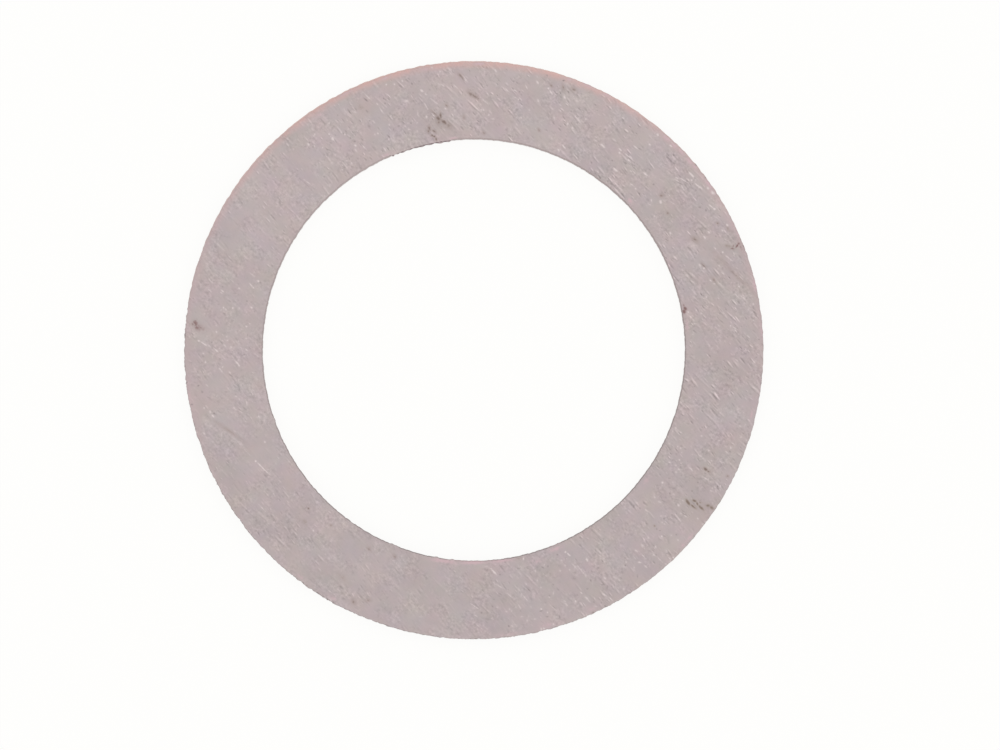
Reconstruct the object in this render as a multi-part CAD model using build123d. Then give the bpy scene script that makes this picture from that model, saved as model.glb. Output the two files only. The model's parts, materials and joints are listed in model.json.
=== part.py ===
"""Shim ring: a flat steel spacer that sits on a shaft, or in a housing, and fills the gap
beside a bearing or a gear.

It is one piece, punched out of cold-rolled strip in two strokes of the same press. The first
stroke pierces the bore and the second blanks the rim, so each edge has the section that a punch
and a die leave in thin steel:

  * a die roll, where the sheet was drawn over the tool before it was cut,
  * a burnished land, the straight band that the tool sheared and rubbed smooth,
  * a break, the rougher band that tore through to the other side and leans away from the land,
  * a worn corner, all that tumbling leaves of the burr.

The bore was pierced from the lower face and the rim blanked from the upper one, so the rim
carries its die roll above and the bore carries its die roll below.

Units are millimetres. +Z is up, and the ring lies on Z = 0 with its bore on the Z axis.
"""

import os

from build123d import *

# ---- Driving dimensions -------------------------------------------------------------------

bore_diameter = 18.10  # across the burnished land of the bore, for an 18 mm shaft
rim_diameter = 24.85  # across the burnished land of the rim, for a 25 mm housing
thickness = 0.50  # of the strip

die_roll_width = 0.14  # how far the rounding reaches in over the face
die_roll_depth = 0.07  # how far it reaches down the edge
land_depth = 0.20  # height of the burnished band
die_clearance = 0.03  # gap between punch and die, so the lean of the break
worn_corner = 0.015  # radius that tumbling leaves where the burr was


# ---- Section ------------------------------------------------------------------------------


def sheared_edge(land_radius, outwards):
    """The half of the section that one stroke cuts, as the points and curves of its edge.

    It is drawn for a stroke that leaves its die roll on the upper face. land_radius is the
    radius of the burnished land, and outwards is 1 for a rim and -1 for a bore: the side of the
    land on which there is no steel.
    """
    inner_end = land_radius - outwards * die_roll_width
    roll_foot = thickness - die_roll_depth
    break_top = roll_foot - land_depth
    break_foot = land_radius - outwards * die_clearance

    roll = EllipticalCenterArc(
        (inner_end, roll_foot),
        die_roll_width,
        die_roll_depth,
        start_angle=90,
        arc_size=-90 * outwards,
    )
    land = Line((land_radius, roll_foot), (land_radius, break_top))
    fracture = Line((land_radius, break_top), (break_foot, 0))
    return inner_end, break_foot, [roll, land, fracture]


def ring_section():
    """The closed section of the ring, right of the Z axis, with its worn corners."""
    rim_roll_end, rim_foot, rim_edge = sheared_edge(rim_diameter / 2, outwards=1)
    bore_roll_end, bore_foot, bore_edge = sheared_edge(bore_diameter / 2, outwards=-1)

    # The bore was cut the other way up, so its edge is turned over about the mid-plane.
    mid_plane = Plane((0, thickness / 2, 0), x_dir=(1, 0, 0), z_dir=(0, 1, 0))
    bore_edge = [curve.mirror(mid_plane) for curve in bore_edge]

    upper_face = Line((bore_foot, thickness), (rim_roll_end, thickness))
    lower_face = Line((bore_roll_end, 0), (rim_foot, 0))
    outline = make_face([upper_face, lower_face, *rim_edge, *bore_edge])

    burr_corners = [
        outline.vertices().sort_by_distance((rim_foot, 0))[0],
        outline.vertices().sort_by_distance((bore_foot, thickness))[0],
    ]
    return fillet(burr_corners, worn_corner)


def shim_ring():
    """The whole ring, turned from its section about the Z axis."""
    return revolve(Plane.XZ * ring_section(), Axis.Z)


# ---- Files --------------------------------------------------------------------------------

os.makedirs("parts", exist_ok=True)
ring = shim_ring()
ring.label = "shim_ring"
export_step(ring, "parts/shim_ring.step")
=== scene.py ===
"""A shim ring of cold-rolled steel, punched, tumbled and a little stained from the shelf.

The ring is one piece. Its edges are drawn loop by loop to the section that a punch and a
die leave, its pits are pressed into the upper face and its burrs are left where tumbling missed
them. The finish is built in the shader: the grain of the rolls; scuff marks that are relief in
the bump and also painted shade and highlights in the colour; short glints where the steel was
scuffed and bright lines along scratches, both painted highlights; dark strokes painted as the
shade in grooves; pits and rust stains at their places; a warm reflection painted along the head
of the rim and at the bore, with a painted highlight on the rim's crest; dark streaks at the
burrs; and the striped land and torn break of the cut edges, the bore's break painted paler
towards one side. The face's tone is painted a little lighter towards the head. Sizes inside the
finishes are in millimetres, and meshes are in metres.
"""

import json
import logging
import math
from collections.abc import Callable
from dataclasses import dataclass, replace
from enum import Enum

import bmesh
import bpy
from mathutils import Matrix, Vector


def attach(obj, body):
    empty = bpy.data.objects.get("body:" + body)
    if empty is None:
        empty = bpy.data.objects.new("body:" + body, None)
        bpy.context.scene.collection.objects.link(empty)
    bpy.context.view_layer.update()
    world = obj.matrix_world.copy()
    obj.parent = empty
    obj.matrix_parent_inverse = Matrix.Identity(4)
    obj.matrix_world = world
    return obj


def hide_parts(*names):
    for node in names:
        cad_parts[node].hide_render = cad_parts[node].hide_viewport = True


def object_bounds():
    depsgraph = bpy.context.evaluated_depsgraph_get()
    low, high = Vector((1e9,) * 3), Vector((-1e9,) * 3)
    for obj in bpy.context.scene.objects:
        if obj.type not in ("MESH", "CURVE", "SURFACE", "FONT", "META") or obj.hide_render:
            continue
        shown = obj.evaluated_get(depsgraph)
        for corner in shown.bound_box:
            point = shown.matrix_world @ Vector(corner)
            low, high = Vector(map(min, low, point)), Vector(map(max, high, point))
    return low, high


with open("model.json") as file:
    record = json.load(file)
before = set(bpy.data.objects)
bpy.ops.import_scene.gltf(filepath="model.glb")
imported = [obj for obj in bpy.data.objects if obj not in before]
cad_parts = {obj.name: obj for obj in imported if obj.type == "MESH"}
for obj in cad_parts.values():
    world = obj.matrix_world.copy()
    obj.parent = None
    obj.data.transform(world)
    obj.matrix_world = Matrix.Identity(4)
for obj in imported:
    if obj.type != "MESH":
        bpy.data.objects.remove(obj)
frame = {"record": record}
cad_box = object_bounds()

log = logging.getLogger("shim_ring")

MM = 0.001
MIDDLE = (0.5, 0.5, 0.5)  # what a colour noise varies about
Colour = tuple[float, float, float, float]
Wire = bpy.types.NodeSocket


# ---- Marks on the ring --------------------------------------------------------------------


@dataclass(frozen=True)
class Mark:
    """One mark on the upper face, in millimetres from the bore's axis.

    The heading is the way that it runs, in degrees anticlockwise from +X. Only a pit has a
    depth.
    """

    x: float
    y: float
    heading: float
    length: float
    width: float
    strength: float
    depth: float = 0.0

    @property
    def bearing(self) -> float:
        """Where it lies round the axis, in degrees anticlockwise from +X."""
        return math.degrees(math.atan2(self.y, self.x))

    @property
    def along(self) -> Vector:
        """The way that it runs, as long as a vector whose dot is 1 at the mark's end."""
        turn = math.radians(self.heading)
        return Vector((math.cos(turn), math.sin(turn), 0)) * 2 / self.length

    @property
    def aside(self) -> Vector:
        """The way across it, as long as a vector whose dot is 1 at the mark's side."""
        turn = math.radians(self.heading)
        return Vector((-math.sin(turn), math.cos(turn), 0)) * 2 / self.width

    def holds(self, place: Vector) -> bool:
        """Tells whether a place on the ring, in metres, lies within the mark."""
        offset = place / MM - Vector((self.x, self.y, 0))
        return math.hypot(offset.dot(self.along), offset.dot(self.aside)) < 1


def strokes(*rows: tuple[float, ...]) -> tuple[Mark, ...]:
    """Marks from rows of x, y, heading, length, width and strength, and for pits depth."""
    return tuple(Mark(*row) for row in rows)


def dots(*rows: tuple[float, float, float]) -> tuple[Mark, ...]:
    """Small marks, nearly round, from rows of x, y and strength."""
    heading, length, width = -50, 0.14, 0.11
    return tuple(Mark(x, y, heading, length, width, strength) for x, y, strength in rows)


PITS = strokes(
    # the star-shaped pit, from its thin arm to its tail
    (-1.69, 10.15, -43, 0.32, 0.1, 0.58, 0.01), (-1.43, 10.05, -79, 0.3, 0.11, 0.7, 0.014),
    (-1.53, 9.93, -45, 0.26, 0.2, 0.86, 0.018), (-1.51, 9.75, -70, 0.14, 0.13, 0.55, 0.008),
    (-1.27, 9.77, -39, 0.42, 0.17, 0.88, 0.018), (-1.08, 9.64, -30, 0.3, 0.2, 0.4, 0.012),
    # the ring of small ones beside it, towards the bore, and one apart
    (-1.91, 9.49, -80, 0.24, 0.13, 0.62, 0.01), (-1.95, 9.37, -80, 0.16, 0.1, 0.6, 0.01),
    (-1.7, 9.37, -30, 0.22, 0.12, 0.72, 0.01), (-1.79, 9.2, -40, 0.17, 0.11, 0.9, 0.01),
    (-1.7, 9.15, -20, 0.14, 0.11, 0.9, 0.01), (-1.62, 9.04, -70, 0.17, 0.1, 1.0, 0.01),
    (-0.43, 9.95, -85, 0.12, 0.07, 0.26, 0.006),
    # the ones above it, towards the rim, and those to their right
    (-0.157, 10.99, -48, 0.32, 0.16, 0.62, 0.014), (0.06, 10.86, -35, 0.36, 0.15, 0.64, 0.014),
    (-0.55, 11.74, -50, 0.34, 0.14, 0.5, 0.012), (-1.18, 10.48, -50, 0.16, 0.1, 0.4, 0.008),
    (0.42, 9.3, -40, 0.12, 0.09, 0.34, 0.008), (2.79, 9.43, -50, 0.14, 0.09, 0.4, 0.008),
    # the right-hand half of the ring
    (3.33, 11.34, -50, 0.16, 0.09, 0.4, 0.008), (4.28, 11.18, -40, 0.24, 0.15, 0.45, 0.01),
    (3.84, 11.26, -70, 0.18, 0.09, 0.35, 0.008), (8.05, 6.6, 0, 0.18, 0.12, 0.5, 0.012),
    (8.31, 5.85, -60, 0.12, 0.1, 0.45, 0.012), (9.48, 4.71, -35, 0.26, 0.14, 0.38, 0.012),
    (9.86, 3.58, -50, 0.28, 0.09, 0.45, 0.01), (10.29, 2.98, -55, 0.24, 0.1, 0.4, 0.01),
    (10.46, 5.41, -20, 0.15, 0.1, 0.4, 0.008), (11.26, 3.17, -45, 0.8, 0.06, 0.14, 0.006),
    (9.92, -5.14, -38, 0.26, 0.14, 1.05, 0.012), (10.04, -5.24, -20, 0.16, 0.09, 0.6, 0.01),
    (10.86, -5.44, -40, 0.11, 0.09, 0.45, 0.008), (5.14, -11.3, -20, 0.14, 0.11, 0.5, 0.01),
    # the left-hand half of the ring
    (-10.45, -3.52, -35, 0.62, 0.07, 0.2, 0.006), (-7.07, -6.82, -60, 0.11, 0.09, 0.75, 0.012),
    (-6.11, -7.54, -50, 0.1, 0.08, 0.45, 0.008), (-5.14, -10.81, -60, 0.2, 0.13, 0.4, 0.01),
    (-4.51, -10.75, 0, 0.16, 0.11, 0.35, 0.008), (-4.48, -8.55, -50, 0.14, 0.1, 0.26, 0.008),
    (-3.37, -8.88, -50, 0.16, 0.1, 0.35, 0.008),
)

DRIPS = strokes(
    # the crescent of drips at the lower right
    (9.16, -6.56, -54, 0.44, 0.17, 1.1), (9.38, -6.74, -38, 0.46, 0.13, 0.78),
    (9.44, -6.5, -20, 0.28, 0.15, 0.95), (9.56, -6.62, -70, 0.24, 0.12, 0.8),
    (9.72, -6.79, -44, 0.46, 0.15, 0.8), (9.68, -6.57, -45, 0.14, 0.11, 0.6),
    (10.02, -6.7, -20, 0.28, 0.19, 0.7), (10.17, -6.79, -35, 0.3, 0.19, 0.78),
)

STAINS = strokes(
    # what the drips left between them
    (9.73, -6.67, -30, 1.4, 0.6, 0.17),
    # faint ones, here and there
    (-7.22, -7.41, -50, 0.5, 0.3, 0.4), (-5.6, -9.78, -45, 0.6, 0.35, 0.3),
    (1.93, -8.95, 0, 0.34, 0.16, 0.36), (-4.85, 10.4, -45, 0.5, 0.36, 0.34),
    (7.73, -7.57, -45, 0.15, 0.13, 0.75),
    # beside the smear at the rim
    (10.9, 4.43, -10, 0.48, 0.22, 0.5), (10.89, 5.18, -60, 0.5, 0.18, 0.45),
    # the halos of the star-shaped pit and of the one above it
    (-1.5, 9.74, -55, 0.94, 0.6, 0.34), (-0.02, 10.95, -45, 0.6, 0.36, 0.3),
)

RUST = strokes(
    # the spot at the left of the rim
    (-11.92, 1.1, -70, 0.38, 0.26, 0.85), (-12.04, 1.07, -45, 0.2, 0.16, 0.6),
    (-11.83, 0.9, -40, 0.4, 0.26, 0.6), (-11.7, 0.94, -20, 0.4, 0.24, 0.5),
    # the spot at the right of the bore
    (9.06, 1.74, -60, 0.24, 0.2, 1.1), (9.01, 1.62, -60, 0.24, 0.22, 1.2),
    (9.0, 1.88, -75, 0.2, 0.12, 0.52),
    # the hooked smear at the rim
    (11.29, 4.44, 52, 0.34, 0.11, 0.95), (11.36, 4.54, 0, 0.2, 0.13, 0.8),
    (11.13, 4.43, 80, 0.18, 0.09, 0.55), (11.1, 4.32, -5, 0.32, 0.11, 0.6),
    (11.46, 4.36, -75, 0.36, 0.16, 0.28), (11.49, 4.72, -68, 0.28, 0.11, 0.7),
    (11.58, 4.45, -69, 0.44, 0.09, 0.45),
)

# Bright lines along scratches, painted into the colour as highlights.
PAINTED_SCRATCH_HIGHLIGHTS = strokes(
    # the left-hand side
    (-9.03, -5.09, -45, 1.06, 0.09, 0.85), (-9.7, -4.42, -45, 0.8, 0.05, 0.35),
    (-9.05, -6.8, -47, 0.6, 0.06, 0.55), (-6.11, -10.39, -36, 0.82, 0.06, 0.5),
    (-11.55, 0.22, -34, 0.62, 0.09, 0.8), (-11.03, -0.05, -42, 0.56, 0.09, 0.75),
    (-10.85, 0.0, -30, 0.3, 0.08, 0.45), (-9.75, -0.02, -45, 0.3, 0.09, 0.65),
    (-9.3, -0.26, -40, 0.36, 0.08, 0.45), (-10.13, -0.6, -50, 0.36, 0.1, 1.0),
    (-9.85, -0.33, -5, 0.3, 0.08, 0.5), (-10.45, -1.0, -45, 0.3, 0.1, 0.55),
    (-11.43, -1.55, -50, 0.3, 0.08, 0.45), (-11.3, 2.95, -48, 0.35, 0.1, 0.6),
    (-11.35, 2.55, -45, 0.5, 0.12, 0.45), (-10.78, 2.5, -42, 0.3, 0.1, 0.75),
    (-10.82, 2.42, -30, 0.2, 0.08, 0.6), (-9.55, 2.75, -48, 0.4, 0.1, 0.6),
    (-9.5, 3.2, -42, 0.5, 0.09, 0.45),
    # the foot
    (0.04, -11.0, -34, 0.72, 0.06, 0.65), (0.3, -11.92, -36, 1.56, 0.05, 0.35),
    (0.88, -9.55, -48, 0.42, 0.1, 1.0), (0.72, -9.38, -15, 0.2, 0.08, 0.5),
    (1.1, -10.15, -30, 0.6, 0.09, 0.5), (1.55, -10.55, -38, 0.6, 0.09, 0.5),
    (1.95, -11.0, -60, 0.5, 0.09, 0.48), (2.2, -10.65, -48, 0.7, 0.09, 0.55),
    (3.05, -9.68, -45, 0.4, 0.08, 0.42), (4.05, -8.78, -42, 0.4, 0.1, 0.7),
    (4.62, -9.5, -51, 1.6, 0.1, 0.42), (4.3, -9.3, -48, 0.9, 0.08, 0.42),
    (3.92, -10.88, -50, 0.55, 0.1, 0.45), (3.38, -11.05, -38, 0.6, 0.09, 0.5),
    (4.6, -10.43, -40, 0.2, 0.08, 0.6), (4.92, -10.78, -40, 0.3, 0.1, 0.4),
    (5.6, -10.52, -32, 0.45, 0.09, 0.65), (5.85, -10.68, -42, 0.4, 0.1, 0.65),
    (7.1, -9.13, -15, 0.35, 0.12, 0.65), (7.35, -9.3, -45, 0.4, 0.1, 0.55),
    (7.25, -8.85, -48, 0.7, 0.09, 0.52), (6.9, -8.95, -50, 0.3, 0.08, 0.48),
    (0.53, -11.93, -45, 0.65, 0.09, 0.3), (1.75, -11.75, -52, 0.8, 0.08, 0.3),
    # the head, towards the left
    (-0.78, 11.3, -45, 0.74, 0.08, 0.55), (-2.06, 10.95, -45, 0.24, 0.08, 0.6),
    (-1.68, 10.65, -38, 0.65, 0.1, 0.52), (-2.05, 10.45, -58, 0.5, 0.09, 0.52),
    (-3.97, 10.27, -55, 0.5, 0.09, 0.65), (-4.15, 10.55, -48, 0.35, 0.08, 0.48),
    (-4.55, 10.85, -42, 0.7, 0.1, 0.48), (-4.85, 9.85, -58, 0.5, 0.08, 0.48),
    (-5.73, 9.8, -35, 0.35, 0.08, 0.5), (-4.75, 8.73, -50, 0.75, 0.09, 0.62),
    (-3.65, 9.0, -60, 0.4, 0.08, 0.42), (-7.1, 7.15, -35, 0.9, 0.08, 0.48),
    # the head, towards the right
    (0.4, 10.76, -39, 0.56, 0.05, 0.4), (2.26, 11.28, -62, 0.28, 0.1, 0.6),
    (1.42, 11.15, -45, 0.4, 0.1, 0.6), (1.78, 11.12, -34, 0.28, 0.09, 0.8),
    (1.8, 10.82, -27, 0.3, 0.08, 0.45), (3.31, 11.06, -54, 0.4, 0.1, 0.8),
    (1.84, 9.67, -55, 0.3, 0.08, 0.45), (0.46, 10.67, -40, 0.75, 0.08, 0.45),
    (5.26, 9.11, -25, 0.24, 0.08, 0.55), (5.23, 8.97, -35, 0.3, 0.08, 0.55),
    (3.86, 8.71, -48, 0.34, 0.1, 0.82), (2.54, 9.03, -50, 0.3, 0.08, 0.42),
    (3.72, 10.25, -40, 0.35, 0.1, 0.42), (3.72, 10.5, -35, 0.3, 0.08, 0.45),
    # the scuffed patch at the upper right, towards the bore
    (6.63, 8.29, -41, 0.96, 0.07, 0.6), (6.72, 8.04, -38, 0.62, 0.06, 0.5),
    (6.29, 8.58, -45, 0.24, 0.12, 1.0), (6.65, 8.12, -40, 0.22, 0.11, 0.9),
    (6.08, 7.72, -43, 0.38, 0.11, 1.1), (6.95, 8.68, -39, 0.4, 0.09, 0.8),
    (7.36, 7.53, -40, 0.32, 0.12, 0.9), (6.77, 7.64, -35, 0.2, 0.08, 0.6),
    (6.78, 7.07, -38, 0.56, 0.08, 0.5), (5.56, 8.72, -45, 0.26, 0.1, 0.75),
    (8.53, 6.28, -31, 0.74, 0.07, 0.4), (8.37, 6.64, -50, 0.24, 0.07, 0.5),
    # the hatched patch beside it, towards the rim
    (9.34, 7.5, -46, 0.54, 0.13, 0.95), (9.58, 7.05, -42, 0.34, 0.11, 0.95),
    (8.74, 7.23, -33, 0.5, 0.07, 0.65), (9.01, 7.26, -35, 0.48, 0.07, 0.7),
    (8.71, 7.37, -27, 0.32, 0.07, 0.6), (8.97, 6.93, -62, 0.34, 0.09, 0.55),
    (8.46, 8.74, -35, 0.24, 0.09, 0.85), (10.17, 6.15, -40, 0.44, 0.09, 0.8),
    # the lower right
    (8.84, -3.55, -38, 0.5, 0.09, 0.5), (10.83, -4.42, -40, 0.4, 0.08, 0.5),
    (11.1, -4.05, -38, 0.3, 0.08, 0.5), (9.93, -5.55, -30, 0.5, 0.09, 0.52),
    (10.6, -4.83, -22, 0.4, 0.08, 0.45), (9.06, -7.15, -35, 0.35, 0.09, 0.52),
    (7.95, -9.0, -45, 0.5, 0.08, 0.48), (8.38, -8.97, -50, 0.3, 0.1, 0.6),
    # the right-hand side
    (10.08, 5.03, -40, 0.35, 0.12, 0.58), (10.35, 4.33, -50, 0.3, 0.1, 0.65),
    (10.92, 3.93, -42, 0.7, 0.12, 0.5), (10.51, 3.58, -45, 0.26, 0.1, 0.45),
    (10.69, 3.24, -40, 0.3, 0.11, 0.65), (11.48, 3.05, -46, 0.5, 0.09, 0.48),
    (11.26, 2.31, -45, 0.3, 0.11, 0.5), (11.56, 2.2, -35, 0.32, 0.12, 0.58),
    (11.17, 0.92, -33, 0.4, 0.09, 0.7), (9.44, 1.13, -50, 0.45, 0.12, 0.38),
    (10.47, 1.03, -35, 0.28, 0.1, 0.5),
) + dots(
    (-11.04, 1.02, 0.45), (-10.1, 0.35, 0.45),
)

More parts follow.
